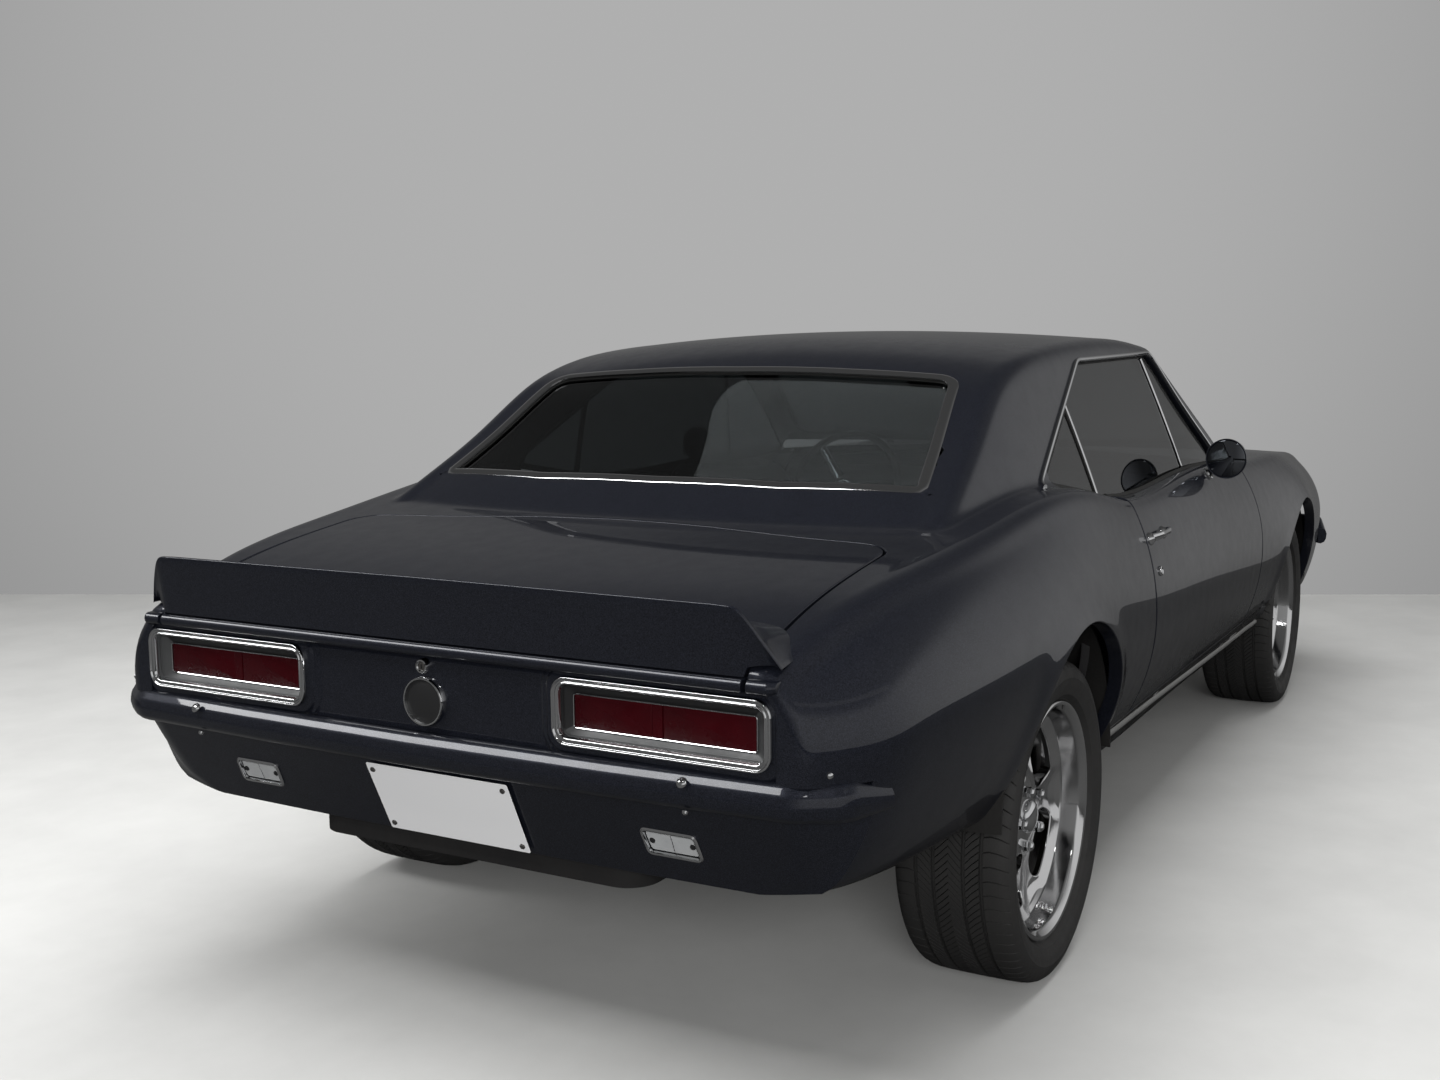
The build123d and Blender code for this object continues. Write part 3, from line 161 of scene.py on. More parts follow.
# Greenhouse, in millimetres: x, base y, top of the side y and z, start of the roof y and z, centre z.
SCREEN_SECTIONS = [
    (790, 786, 776, 902, 744, 916, 944),
    (600, 790, 758, 997, 722, 1014, 1056),
    (380, 792, 710, 1138, 674, 1156, 1184),
    (140, 794, 672, 1274, 628, 1296, 1322),
]
ROOF_SECTIONS = [
    (140, 794, 672, 1274, 628, 1296, 1322),
    (-60, 796, 668, 1288, 614, 1314, 1339),
    (-380, 800, 664, 1288, 606, 1318, 1346),
    (-720, 806, 658, 1268, 598, 1300, 1334),
    (-1000, 812, 650, 1222, 590, 1256, 1294),
    (-1095, 812, 650, 1192, 590, 1222, 1258),
    (-1280, 806, 668, 1086, 612, 1110, 1150),
    (-1480, 790, 690, 986, 634, 1000, 1033),
    (-1645, 770, 704, 906, 648, 912, 936),
]
GREENHOUSE_BASE = 0.8
GIRTH_POINTS = 300
MIDDLE_Z = 0.7
AXLES = (1.4135, -1.3295)
ARCH_Z = 0.387
ARCH_R = 0.365
FLARE = 0.007
FLARE_REACH = 0.035


def through(xs, ys):
    """The natural cubic through some points, as a function of x."""
    order = np.argsort(xs)
    xs, ys = np.array(xs, float)[order], np.array(ys, float)[order]
    gaps = np.diff(xs)
    count = len(xs)
    matrix, right = np.eye(count), np.zeros(count)
    for i in range(1, count - 1):
        matrix[i, i - 1:i + 2] = gaps[i - 1], 2 * (gaps[i - 1] + gaps[i]), gaps[i]
        right[i] = 6 * ((ys[i + 1] - ys[i]) / gaps[i] - (ys[i] - ys[i - 1]) / gaps[i - 1])
    bend = np.linalg.solve(matrix, right)

    def at(x):
        i = np.clip(np.searchsorted(xs, x) - 1, 0, count - 2)
        after, before, gap = x - xs[i], xs[i + 1] - x, gaps[i]
        return ((bend[i] * before ** 3 + bend[i + 1] * after ** 3) / (6 * gap)
                + (ys[i] / gap - bend[i] * gap / 6) * before
                + (ys[i + 1] / gap - bend[i + 1] * gap / 6) * after)
    return at


def columns(sections, xs):
    """Each column of a section table in metres, as a column vector over the given x."""
    table = np.array(sections, float) / 1000
    return [through(table[:, 0], table[:, k])(xs)[:, None] for k in range(1, table.shape[1])]


def smoothed(values, spread, run_on):
    """Values averaged along their first axis over a spread of samples.

    Past the last they run straight on where run_on is 1, and are mirrored where it is 0.
    """
    reach = int(3.5 * spread) + 1
    weights = np.exp(-0.5 * (np.arange(-reach, reach + 1) / spread) ** 2)
    weights /= weights.sum()
    head, tail = values[reach:0:-1], values[-2:-reach - 2:-1]
    head, tail = 2 * values[:1] - head, (2 * values[-1:] - tail) * run_on + tail * (1 - run_on)
    padded = np.concatenate([head, values, tail])
    return sum(w * padded[k:k + len(values)] for k, w in enumerate(weights))


def bowed(start, end, share, t):
    """A shallow bow from start to end that stands off the chord by a share of its length."""
    run, rise = end[0] - start[0], end[1] - start[1]
    lift = 4 * t * (1 - t) * share
    return start[0] + run * t + rise * lift, start[1] + rise * t - run * lift


def body_lines(xs):
    """Half sections of the lower body from the sill to the middle of the top."""
    zb, ys, zs, ym, zm, yt, zt, yr, zr, zc = columns(BODY_SECTIONS, xs)
    t = np.linspace(0, 1, 60)[None, :]
    pieces = [((ys - 0.06) + 0.06 * t, zb + (zs - zb) * t)]
    for y_end, z_end, turn in ((ys, zs, 1 - t), (yt, zt, t)):
        radius = ((ym - y_end) ** 2 + (z_end - zm) ** 2) / (2 * (ym - y_end))
        angle = np.arcsin((z_end - zm) / radius) * turn
        pieces.append((ym - radius + radius * np.cos(angle), zm + radius * np.sin(angle)))
    pieces.append(bowed((yt, zt), (yr, zr), 0.16, t))
    pieces.append((yr * (1 - t), zc - (zc - zr) * (1 - t) ** 2))
    return np.stack([np.concatenate([p[k] for p in pieces], 1) for k in (0, 1)], 2)


def greenhouse_lines(sections, xs):
    """Half sections of the greenhouse from its base to the middle of the roof."""
    yb, y1, z1, y2, z2, zc = columns(sections, xs)
    t = np.linspace(0, 1, 60)[None, :]
    pieces = [bowed((yb, GREENHOUSE_BASE), (y1, z1), 0.012, t), bowed((y1, z1), (y2, z2), 0.16, t),
              (y2 * (1 - t), zc - (zc - z2) * (1 - t) ** 2)]
    return np.stack([np.concatenate([p[k] for p in pieces], 1) for k in (0, 1)], 2)


def even(line):
    """A polyline resampled to even steps."""
    run = np.concatenate([[0], np.cumsum(np.hypot(*np.diff(line, axis=0).T))])
    steps = np.linspace(0, run[-1], GIRTH_POINTS)
    return np.stack([np.interp(steps, run, line[:, 0]), np.interp(steps, run, line[:, 1])], 1)


def merged(low, high):
    """The outer outline of two half sections, seen along rays from a point between them."""
    angles = [np.maximum.accumulate(np.arctan2(k[:, 1] - MIDDLE_Z, k[:, 0])) for k in (low, high)]
    rays = np.linspace(angles[0][0], math.pi / 2, 1500)
    reach = [np.interp(rays, a, np.hypot(k[:, 0], k[:, 1] - MIDDLE_Z), left=0)
             for a, k in zip(angles, (low, high))]
    far = np.maximum(*reach)
    return np.stack([far * np.cos(rays), MIDDLE_Z + far * np.sin(rays)], 1)


class Skin:
    """One pressed form: a table of half sections along x, read smoothly between its lines."""

    def __init__(self, xs, lines, along=1.2, around=2.2):
        lines = smoothed(np.stack([even(line) for line in lines]), along, 1.0)
        lines = smoothed(lines.transpose(1, 0, 2), around, np.array([1.0, 0.0])).transpose(1, 0, 2)
        lines[:, -1, 0] = 0
        self.xs, self.lines = xs, lines

    def point(self, x, share):
        """The point at x and a share of the half girth, 0 at the sill and 1 in the middle."""
        x, share = np.broadcast_arrays(np.asarray(x, float), np.asarray(share, float))
        i = np.clip((x - self.xs[0]) / (self.xs[1] - self.xs[0]), 0, len(self.xs) - 1.001)
        j = np.clip(share * (GIRTH_POINTS - 1), 0, GIRTH_POINTS - 1.001)
        a, b = i.astype(int), j.astype(int)
        u, v = (i - a)[..., None], (j - b)[..., None]
        low = self.lines[a, b] * (1 - v) + self.lines[a, b + 1] * v
        high = self.lines[a + 1, b] * (1 - v) + self.lines[a + 1, b + 1] * v
        return np.concatenate([x[..., None], low * (1 - u) + high * u], -1)

    def share(self, x, y=None, z=None):
        """The share of the girth where the side reaches z, or where the top comes in to y."""
        line = self.point(x, np.linspace(0, 1, GIRTH_POINTS))[:, 1:]
        if z is not None:
            return np.interp(z, np.maximum.accumulate(line[:, 1]), np.linspace(0, 1, GIRTH_POINTS))
        widest = int(line[:, 0].argmax())
        return np.interp(-abs(y), -line[widest:, 0], np.linspace(0, 1, GIRTH_POINTS)[widest:])

    def at(self, x, y=None, z=None):
        """The point and the outward direction at x and a height, or at x and a half width."""
        s = self.share(x, y, z)
        here = self.point(x, s)
        along = self.point(x + 0.004, s) - self.point(x - 0.004, s)
        up = self.point(x, min(s + 0.003, 1)) - self.point(x, s - 0.003)
        out = np.cross(up, along)
        side = np.array([1, -1 if y is not None and y < 0 else 1, 1])
        return here * side, out / np.linalg.norm(out) * side


NOSE_END, TAIL_END = 2.346, -2.292
x_lines = np.arange(TAIL_END, NOSE_END, 0.006)
body_table = body_lines(x_lines)
for axle in AXLES:
    from_axle = np.hypot(x_lines[:, None] - axle, body_table[:, :, 1] - ARCH_Z)
    lip = np.exp(-(np.maximum(from_axle - ARCH_R, 0) / FLARE_REACH) ** 2)
    body_table[:, :, 0] += FLARE * lip * (body_table[:, :, 0] > 0.7) * (body_table[:, :, 1] > ARCH_Z - 0.02)
screen_part = x_lines > SCREEN_SECTIONS[-1][0] / 1000
cabin_table = np.where(screen_part[:, None, None], greenhouse_lines(SCREEN_SECTIONS, x_lines),
                       greenhouse_lines(ROOF_SECTIONS, x_lines))
covered = (x_lines > ROOF_SECTIONS[-1][0] / 1000) & (x_lines < SCREEN_SECTIONS[0][0] / 1000)
body_skin = Skin(x_lines, body_table)
shell_skin = Skin(x_lines, [merged(low, high) if over else low
                            for low, high, over in zip(body_table, cabin_table, covered)])
cabin_skin = Skin(x_lines[covered], cabin_table[covered])

# Body shell: cutting and folding
# Each panel is trimmed to its outline and its edges are folded in, so that a rounded edge and a
# return show at every gap, as on a pressed panel.
GRID_STEP = 0.0116
EDGE_RADIUS = 0.0025
FAR = 9.0        # stands for no limit, in places that an outline leaves alone
grid_xs = np.arange(TAIL_END + 0.002, NOSE_END - 0.004, GRID_STEP)
grid_shares = np.linspace(0, 1, 160)


def placed(name, mesh, body, replaces, at):
    """Puts a mesh in the scene as a piece that rides on a body."""
    piece = bpy.data.objects.new(name, mesh)
    bpy.context.scene.collection.objects.link(piece)
    piece.location = at
    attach(piece, body)
    if replaces:
        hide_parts(*replaces)
    return piece


class Sheet:
    """The points, outward directions and faces of one pressed piece."""

    def __init__(self, points, outward, faces):
        self.points, self.outward, self.faces = [], [], []
        self.add(points, outward, faces)

    def add(self, points, outward, faces):
        start = len(self.points)
        self.points.extend(map(tuple, points))
        self.outward.extend(map(tuple, outward))
        self.faces.extend(tuple(int(i) + start for i in face) for face in faces)

    def mirrored(self):
        """The same piece on the other side of the car."""
        return Sheet(np.array(self.points) * [1, -1, 1], np.array(self.outward) * [1, -1, 1],
                     [face[::-1] for face in self.faces])

    def done(self, name, body, slot, material, replaces=(), at=(0, 0, 0)):
        mesh = bpy.data.meshes.new(name)
        mesh.from_pydata(self.points, [], self.faces)
        mesh.materials.append(material)
        mesh.shade_smooth()
        mesh.normals_split_custom_set_from_vertices(self.outward)
        return placed(name, mesh, body, replaces, at)

    def both(self, name, body, slot, material, replaces=()):
        """The piece on the left and its mirror image on the right, with {} for the hand in the names."""
        for hand, sheet in (("left", self), ("right", self.mirrored())):
            sheet.done(name.format(hand), body.format(hand), slot, material,
                       [node.format(hand) for node in replaces])


def unit(vectors):
    return vectors / np.maximum(np.linalg.norm(vectors, axis=-1, keepdims=True), 1e-12)


def grid_of(skin, x0, x1, low=0.0, high=1.0, across=False, skip=1):
    """A grid of points and outward directions on a skin, on one side or across the car."""
    xs = grid_xs[(grid_xs > x0 - GRID_STEP) & (grid_xs < x1 + GRID_STEP)]
    shares = grid_shares[(grid_shares >= low - 0.007) & (grid_shares <= high + 0.007)]
    wide_xs = np.concatenate([[xs[0] - 0.003], xs, [xs[-1] + 0.003]])
    wide_shares = np.concatenate([[shares[0] - 0.002], shares, [shares[-1] + 0.002]])
    points = skin.point(wide_xs[:, None], wide_shares[None, :])
    if shares[-1] > 0.999:
        points[:, -1] = points[:, -3] * [1, -1, 1]
    out = unit(np.cross(points[1:-1, 2:] - points[1:-1, :-2], points[2:, 1:-1] - points[:-2, 1:-1]))
    points = points[1:-1, 1:-1]
    if across:
        out[:, -1, 1] = 0
        out[:, -1] = unit(out[:, -1])
        points = np.concatenate([points, (points * [1, -1, 1])[:, -2::-1]], 1)
        out = np.concatenate([out, (out * [1, -1, 1])[:, -2::-1]], 1)
    return points[::skip, ::skip], out[::skip, ::skip]


def cut(points, outward, inside):
    """The part of a grid where inside is above 0, with the cells on its edge cut along it."""
    corner = np.arange(inside.size).reshape(inside.shape)
    corner = np.stack([corner[:-1, :-1], corner[:-1, 1:], corner[1:, 1:], corner[1:, :-1]], -1).reshape(-1, 4)
    value, places, ways = inside.ravel(), list(points.reshape(-1, 3)), list(outward.reshape(-1, 3))
    kept = (value[corner] > 0).sum(1)
    faces = [list(c) for c in corner[kept == 4]]
    made = {}

    def crossing(a, b):
        a, b = min(a, b), max(a, b)
        if (a, b) not in made:
            t = value[a] / (value[a] - value[b])
            made[a, b] = len(places)
            places.append(places[a] * (1 - t) + places[b] * t)
            ways.append(unit(ways[a] * (1 - t) + ways[b] * t))
        return made[a, b]

    for c in corner[(kept > 0) & (kept < 4)]:
        outline = []
        for a, b in zip(c, np.roll(c, -1)):
            if value[a] > 0:
                outline.append(a)
            if (value[a] > 0) != (value[b] > 0):
                outline.append(crossing(a, b))
        faces.append(outline)
    used = sorted({i for face in faces for i in face})
    fresh = {old: new for new, old in enumerate(used)}
    return (np.array([places[i] for i in used]), np.array([ways[i] for i in used]),
            [[fresh[i] for i in face] for face in faces])


def rim_of(points, outward, faces):
    """The open edges of some faces, and the direction out of the sheet at each open point."""
    edges = {}
    for face in faces:
        for a, b in zip(face, face[1:] + face[:1]):
            if (b, a) in edges:
                del edges[b, a]
            else:
                edges[a, b] = True
    away = np.zeros((len(points), 3))
    for a, b in edges:
        way = np.cross(points[b] - points[a], outward[a] + outward[b])
        away[a] += way
        away[b] += way
    return list(edges), unit(away)


def fold(points, outward, faces, radius=EDGE_RADIUS, depth=0.02, inward=None, plain=None, back=None):
    """A sheet of cut faces with a rounded, folded edge, and a back where the piece is closed."""
    sheet = Sheet(points, outward, faces)
    edges, away = rim_of(points, outward, faces)
    if plain is not None:
        bare = plain(points)
        edges = [(a, b) for a, b in edges if not (bare[a] and bare[b])]
    on_edge = sorted({i for edge in edges for i in edge})
    place = {old: new for new, old in enumerate(on_edge)}
    p, n, t = points[on_edge], outward[on_edge], away[on_edge]
    rings, ways = [], []
    for angle in np.radians([0, 30, 60, 90]):
        rings.append(p + t * radius * math.sin(angle) - n * radius * (1 - math.cos(angle)))
        ways.append(n * math.cos(angle) + t * math.sin(angle))
    if depth > radius:
        into = -n if inward is None else np.broadcast_to(np.array(inward, float), n.shape)
        into = unit(into - t * (into * t).sum(1, keepdims=True))
        rings.append(rings[-1] + into * (depth - radius))
        ways.append(t)
    count = len(on_edge)
    strips = []
    for k in range(len(rings) - 1):
        for a, b in edges:
            i, j = place[a] + k * count, place[b] + k * count
            strips.append((j, i, i + count, j + count))
    sheet.add(np.concatenate(rings), np.concatenate(ways), strips)
    if back is not None:
        behind = back(points, outward)
        behind[on_edge] = rings[-1]
        sheet.add(behind, -outward, [face[::-1] for face in faces])
    return sheet


def pressed(points, outward, inside, **edge):
    """A sheet cut from a grid where inside is above 0, with its edges folded."""
    return fold(*cut(points, outward, inside), **edge)


def lined(points, outward, inside, **edge):
    """A sheet like that, turned over to face the cabin."""
    places, ways, faces = cut(points, -outward, inside)
    return fold(places, ways, [face[::-1] for face in faces], **edge)


def ramp(rise, width):
    """0 up to a rise of 0, 1 from a rise of the width on, and even between them."""
    return np.clip(rise / width, 0, 1)


def rounded(corners, radius, closed=True, steps=6):
    """A polyline with its corners replaced by arcs. One radius, or one for each corner."""
    corners = [np.array(c, float) for c in corners]
    radii = radius if hasattr(radius, "__len__") else [radius] * len(corners)
    line = []
    for i, here in enumerate(corners):
        if not closed and i in (0, len(corners) - 1) or radii[i] == 0:
            line.append(here)
            continue
        back, ahead = corners[i - 1] - here, corners[(i + 1) % len(corners)] - here
        a, b = unit(back), unit(ahead)
        half = math.acos(np.clip(a @ b, -1, 1)) / 2
        if half > math.pi / 2 - 0.01:
            line.append(here)
            continue
        reach = min(radii[i] / math.tan(half), 0.48 * np.linalg.norm(back), 0.48 * np.linalg.norm(ahead))
        r = reach * math.tan(half)
        centre = here + unit(a + b) * r / math.sin(half)
        first, last = here + a * reach - centre, here + b * reach - centre
        sweep = math.pi - 2 * half
        for k in range(steps + 1):
            t = k / steps
            line.append(centre + (first * math.sin((1 - t) * sweep) + last * math.sin(t * sweep))
                        / math.sin(sweep))
    return np.array(line)


def rounded_mm(corners, radius, **settings):
    """The same for corners and radii in millimetres, given in metres."""
    return rounded(corners, radius, **settings) / 1000


def within(u, v, outline):
    """How far points lie inside a closed outline, negative outside it."""
    shape = u.shape
    flat = np.stack([u.ravel(), v.ravel()], 1)
    best, crossings = np.full(len(flat), 9.0), np.zeros(len(flat), int)
    for a, b in zip(outline, np.roll(outline, -1, 0)):
        run = b - a
        t = np.clip(((flat - a) @ run) / max(run @ run, 1e-18), 0, 1)
        best = np.minimum(best, np.linalg.norm(flat - a - t[:, None] * run, axis=1))
        spans = (a[1] > flat[:, 1]) != (b[1] > flat[:, 1])
        rise = run[1] if abs(run[1]) > 1e-12 else 1e-12
        crossings += spans & (flat[:, 0] < a[0] + (flat[:, 1] - a[1]) / rise * run[0])
    return np.where(crossings % 2 == 1, best, -best).reshape(shape)


def least(*distances):
    """The part common to several outlines, with its corners slightly rounded."""
    low = np.minimum.reduce(distances)
    soft = 0.002
    return low - soft * np.log(sum(np.exp(-np.clip((d - low) / soft, 0, 40)) for d in distances))


def tube(rings, loop=False, caps=True):
    """Points and faces through equal rings of points, joined end to end when looped."""
    rings = np.asarray(rings, float)
    count, size = rings.shape[:2]
    faces = []
    for k in range(count if loop else count - 1):
        ahead = (k + 1) % count
        faces += [(k * size + i, k * size + (i + 1) % size, ahead * size + (i + 1) % size, ahead * size + i)
                  for i in range(size)]
    if caps and not loop:
        faces += [tuple(range(size))[::-1], tuple(range((count - 1) * size, count * size))]
    return rings.reshape(-1, 3), faces


def turned(profile, steps=96, sweep=None):
    """A closed profile of places along the axle and radii, in millimetres, turned about the axle."""
    profile = np.asarray(profile, float) / 1000
    angles = np.linspace(*(sweep or (0, 2 * math.pi)), steps, endpoint=sweep is not None)
    rings = [np.stack([profile[:, 1] * math.cos(a), profile[:, 0], profile[:, 1] * math.sin(a)], 1)
             for a in angles]
    return tube(rings, loop=sweep is None)


def moved(part, offset=(0, 0, 0), mirror=False):
    """A part shifted, or its mirror image for the other side of the car."""
    points = (part[0] + np.array(offset, float)) * ([1, -1, 1] if mirror else [1, 1, 1])
    return (points, [face[::-1] for face in part[1]] if mirror else part[1], *part[2:])


def aimed(part, way):
    """A part turned so that its axle points another way."""
    turn = np.array(Vector((0, 1, 0)).rotation_difference(Vector(way)).to_matrix())
    return (part[0] @ turn.T, *part[1:])


def fitting(profile, steps, way, place, shade=0):
    """A turned part set on a place, its axle along a way, in one of its piece's materials."""
    return moved(aimed((*turned(profile, steps), shade), way), place)


def made(name, body, slot, parts, *materials, replaces=(), at=(0, 0, 0), bevel=0.0, sharp=35):
    """Joins parts, each with its points, faces and material number, into one closed, shaded piece."""
    points, faces, shades = [], [], []
    for part in parts:
        faces += [tuple(int(i) + len(points) for i in face) for face in part[1]]
        shade = part[2] if len(part) > 2 else 0
        shades += list(shade) if hasattr(shade, "__len__") else [shade] * len(part[1])
        points += [tuple(p) for p in part[0]]
    mesh = bpy.data.meshes.new(name)
    mesh.from_pydata(points, [], faces)
    for material in materials:
        mesh.materials.append(material)
    mesh.polygons.foreach_set("material_index", shades)
    work = bmesh.new()
    work.from_mesh(mesh)
    bmesh.ops.recalc_face_normals(work, faces=work.faces)
    work.to_mesh(mesh)
    work.free()
    mesh.shade_smooth()
    mesh.set_sharp_from_angle(angle=math.radians(sharp))
    piece = placed(name, mesh, body, replaces, at)
    if bevel:
        edge = piece.modifiers.new("edge", "BEVEL")
        edge.width, edge.segments, edge.limit_method, edge.angle_limit = bevel, 2, "ANGLE", math.radians(30)
        edge.harden_normals = True
    return piece


def made_pair(name, body, slot, parts, *materials, replaces=(), **settings):
    """A piece on the left and its mirror image on the right, with {} for the hand in the names."""
    for hand, mirror in (("left", False), ("right", True)):
        made(name.format(hand), body.format(hand), slot, [moved(part, mirror=mirror) for part in parts],
             *materials, replaces=[node.format(hand) for node in replaces], **settings)


def swept(path, profile, facing, loop=True):
    """A profile of places outward and forward, in millimetres, swept along a path that faces some way."""
    path, profile = np.asarray(path, float), np.asarray(profile, float) / 1000
    facing = np.broadcast_to(unit(np.array(facing, float)), path.shape)
    along = np.roll(path, -1, 0) - np.roll(path, 1, 0) if loop else np.gradient(path, axis=0)
    out = unit(np.cross(unit(along), facing))
    return tube([[p + o * a + f * b for a, b in profile] for p, o, f in zip(path, out, facing)], loop=loop)


def slab(outline, depth):
    """A closed outline of points, thickened by a vector."""
    return tube([np.asarray(outline, float), np.asarray(outline, float) + depth])


def block(low, high):
    """A box between two opposite corners."""
    (x0, y0, z0), (x1, y1, z1) = low, high
    return slab([(x0, y0, z0), (x1, y0, z0), (x1, y1, z0), (x0, y1, z0)], (0, 0, z1 - z0))


def box_line(width, height, radius, steps=6):
    """A rectangle with rounded corners about the origin, as places across and up."""
    return rounded([(-width / 2, -height / 2), (width / 2, -height / 2), (width / 2, height / 2),
                    (-width / 2, height / 2)], radius, steps=steps)


def run_along(line):
    """The distance along a line at each of its points."""
    return np.concatenate([[0], np.cumsum(np.linalg.norm(np.diff(line, axis=0), axis=1))])


def spaced(line, step, closed=True):
    """A line of places resampled to even steps."""
    line = np.asarray(line, float)
    if closed:
        line = np.concatenate([line, line[:1]])
    run = run_along(line)
    steps = np.linspace(0, run[-1], max(3, round(run[-1] / step) + 1))[:-1 if closed else None]
    return np.stack([np.interp(steps, run, line[:, k]) for k in range(line.shape[1])], 1)


def laid(skin, line, lift=0.0, top=False):
    """A line of places laid on a skin: along and up on its side, or along and across on its top."""
    on = [skin.at(a, y=b) if top else skin.at(a, z=b) for a, b in line]
    return np.array([p + n * lift for p, n in on]), np.array([n for _, n in on])


def strip(width, height):
    """The profile of a half-round moulding in millimetres, centred on its path."""
    half = [(0.5, -2), (0.5, height * 0.35), (0.36, height * 0.85), (0.12, height)]
    return [(-width * a, b) for a, b in half] + [(width * a, b) for a, b in half[::-1]]


# Paint
# Dark blue-grey metallic base coat under clear lacquer: fine bright flakes, and the slight
# unevenness of sprayed paint in its reflections.
flake_group, flake_in, flake_out = node_group(
    "metal_flake", [("Base", "Color", (0.01, 0.012, 0.018, 1)), ("Flake", "Color", (0.1, 0.11, 0.14, 1)),
                    ("Flake Scale", "Float", 1400.0)],
    [("Color", "Color"), ("Height", "Float")])
flake_place = add_node(flake_group, "TexCoord")
flake_cells = add_node(flake_group, "TexVoronoi")
flake_share = add_node(flake_group, "MapRange", {"From Min": 0.35, "From Max": 1.0})
flake_mix = add_node(flake_group, "Mix", data_type="RGBA")
peel = add_node(flake_group, "TexNoise", {"Scale": 140.0, "Detail": 1.0})
wire(flake_group, (flake_place, "Object", flake_cells, "Vector"), (flake_place, "Object", peel, "Vector"),
     (flake_in, "Flake Scale", flake_cells, "Scale"), (flake_cells, "Color", flake_share, "Value"),
     (flake_share, "Result", flake_mix, "Factor"), (flake_in, "Base", flake_mix, "A"),
     (flake_in, "Flake", flake_mix, "B"), (flake_mix, "Result", flake_out, "Color"),
     (peel, "Fac", flake_out, "Height"))
paint, paint_tree, paint_shader = principled(
    "dark_metallic_paint", {"Metallic": 0.55, "Specular IOR Level": 0.3, "Coat Weight": 0.9,
                            "Coat Roughness": 0.02, "Coat IOR": 1.45})
flakes = add_node(paint_tree, "Group", {"Base": (0.006, 0.0068, 0.011, 1), "Flake": (0.034, 0.038, 0.054, 1)},
                  node_tree=flake_group)
paint_film = add_node(paint_tree, "Group", {"Rough Low": 0.3, "Rough High": 0.38}, node_tree=mottle)
peel_bump = add_node(paint_tree, "Bump", {"Strength": 0.012, "Distance": 0.0004})
wire(paint_tree, (flakes, "Color", paint_shader, "Base Color"),
     (paint_film, "Roughness", paint_shader, "Roughness"), (flakes, "Height", peel_bump, "Height"),
     (peel_bump, "Normal", paint_shader, "Coat Normal"))
chrome = finish("chrome_plate", (0.82, 0.82, 0.83), (0.74, 0.75, 0.76), (0.03, 0.09), 300.0, relief=0.01,
                Metallic=1.0)
black_rubber = finish("black_rubber", (0.012, 0.012, 0.012), (0.02, 0.02, 0.019), (0.55, 0.75), 400.0)
satin_black = finish("satin_black", (0.01, 0.01, 0.011), (0.016, 0.016, 0.016), (0.3, 0.45), 250.0)

# Roof
# One pressing with the windscreen pillars, the rails over the doors and the broad rear quarters of
# the roof, welded on. A black headlining is stretched inside it.
DOOR_REAR_X = -0.695
SIDE_WINDOW = rounded([(0.592, 0.942), (0.092, 1.272), (-0.590, 1.262), (-1.082, 1.001), (-0.700, 0.936)],
                      [0.02, 0.05, 0.1, 0.03, 0.1])
SCREEN_OPENING = rounded([(0.732, 0), (0.716, 0.33), (0.668, 0.56), (0.606, 0.694), (0.148, 0.59), (0.16, 0),
                          (0.148, -0.59), (0.606, -0.694), (0.668, -0.56), (0.716, -0.33)],
                         [0.5, 0.5, 0.3, 0.03, 0.06, 0.3, 0.06, 0.03, 0.3, 0.5])
BACK_OPENING = rounded([(-1.104, 0), (-1.097, 0.3), (-1.084, 0.54), (-1.452, 0.606), (-1.490, 0.3),
                        (-1.498, 0), (-1.490, -0.3), (-1.452, -0.606), (-1.084, -0.54), (-1.097, -0.3)],
                       [0.5, 0.5, 0.045, 0.012, 0.5, 0.5, 0.5, 0.012, 0.045, 0.5])
LID_OUTLINE = rounded([(-1.638, 0), (-1.650, 0.204), (-1.686, 0.449), (-1.699, 0.652), (-2.34, 0.648),
                       (-2.34, -0.648), (-1.699, -0.652), (-1.686, -0.449), (-1.650, -0.204)],
                      [1.0, 1.0, 0.3, 0.07, 0, 0, 0.07, 0.3, 1.0])
ROOF_SPLIT = ((-0.700, 0.96), (-1.082, 1.015), (-1.46, 1.012))


def above_split(points):
    """How far points are above the line where the roof's rear quarters are welded to the body."""
    return points[..., 2] - np.interp(-points[..., 0], [-p[0] for p in ROOF_SPLIT], [p[1] for p in ROOF_SPLIT])


def clear_of_openings(points, gap=0.0):
    """How far points are outside the three window openings."""
    x, y, z = points[..., 0], points[..., 1], points[..., 2]
    side = np.where(np.abs(y) > 0.56, -within(x, z, SIDE_WINDOW), 9)
    side = np.where(np.abs(y) > 0.56, -within(x, z, SIDE_WINDOW), FAR)
    top = np.where(z > 0.9, np.minimum(-within(x, y, SCREEN_OPENING), -within(x, y, BACK_OPENING)), FAR)
    return np.minimum(side, top) - gap


roof_points, roof_out = grid_of(shell_skin, -1.5, 0.80, 0.3, 1, across=True)
x, y, z = np.moveaxis(roof_points, -1, 0)
pillar_foot = np.where(x > 0.1, z - np.interp(x, [0.1, 0.59, 0.7], [0.93, 0.948, 0.955]), FAR)
tail_cut = np.where(np.abs(y) < 0.6, x + 1.3, FAR)
roof_inside = least(above_split(roof_points), clear_of_openings(roof_points, EDGE_RADIUS), pillar_foot,
                    tail_cut)
pressed(roof_points, roof_out, roof_inside, depth=0.016, plain=lambda p: above_split(p) < 0.0015).done(
    "roof_skin", "shell", "paint", paint, ("roof",))
headlining = finish("headlining", (0.02, 0.02, 0.02), (0.03, 0.03, 0.029), (0.7, 0.85), 500.0, relief=0.5)
lining_points, lining_out = grid_of(cabin_skin, -1.17, 0.18, 0.05, 1, across=True, skip=2)
x, y, z = np.moveaxis(lining_points, -1, 0)
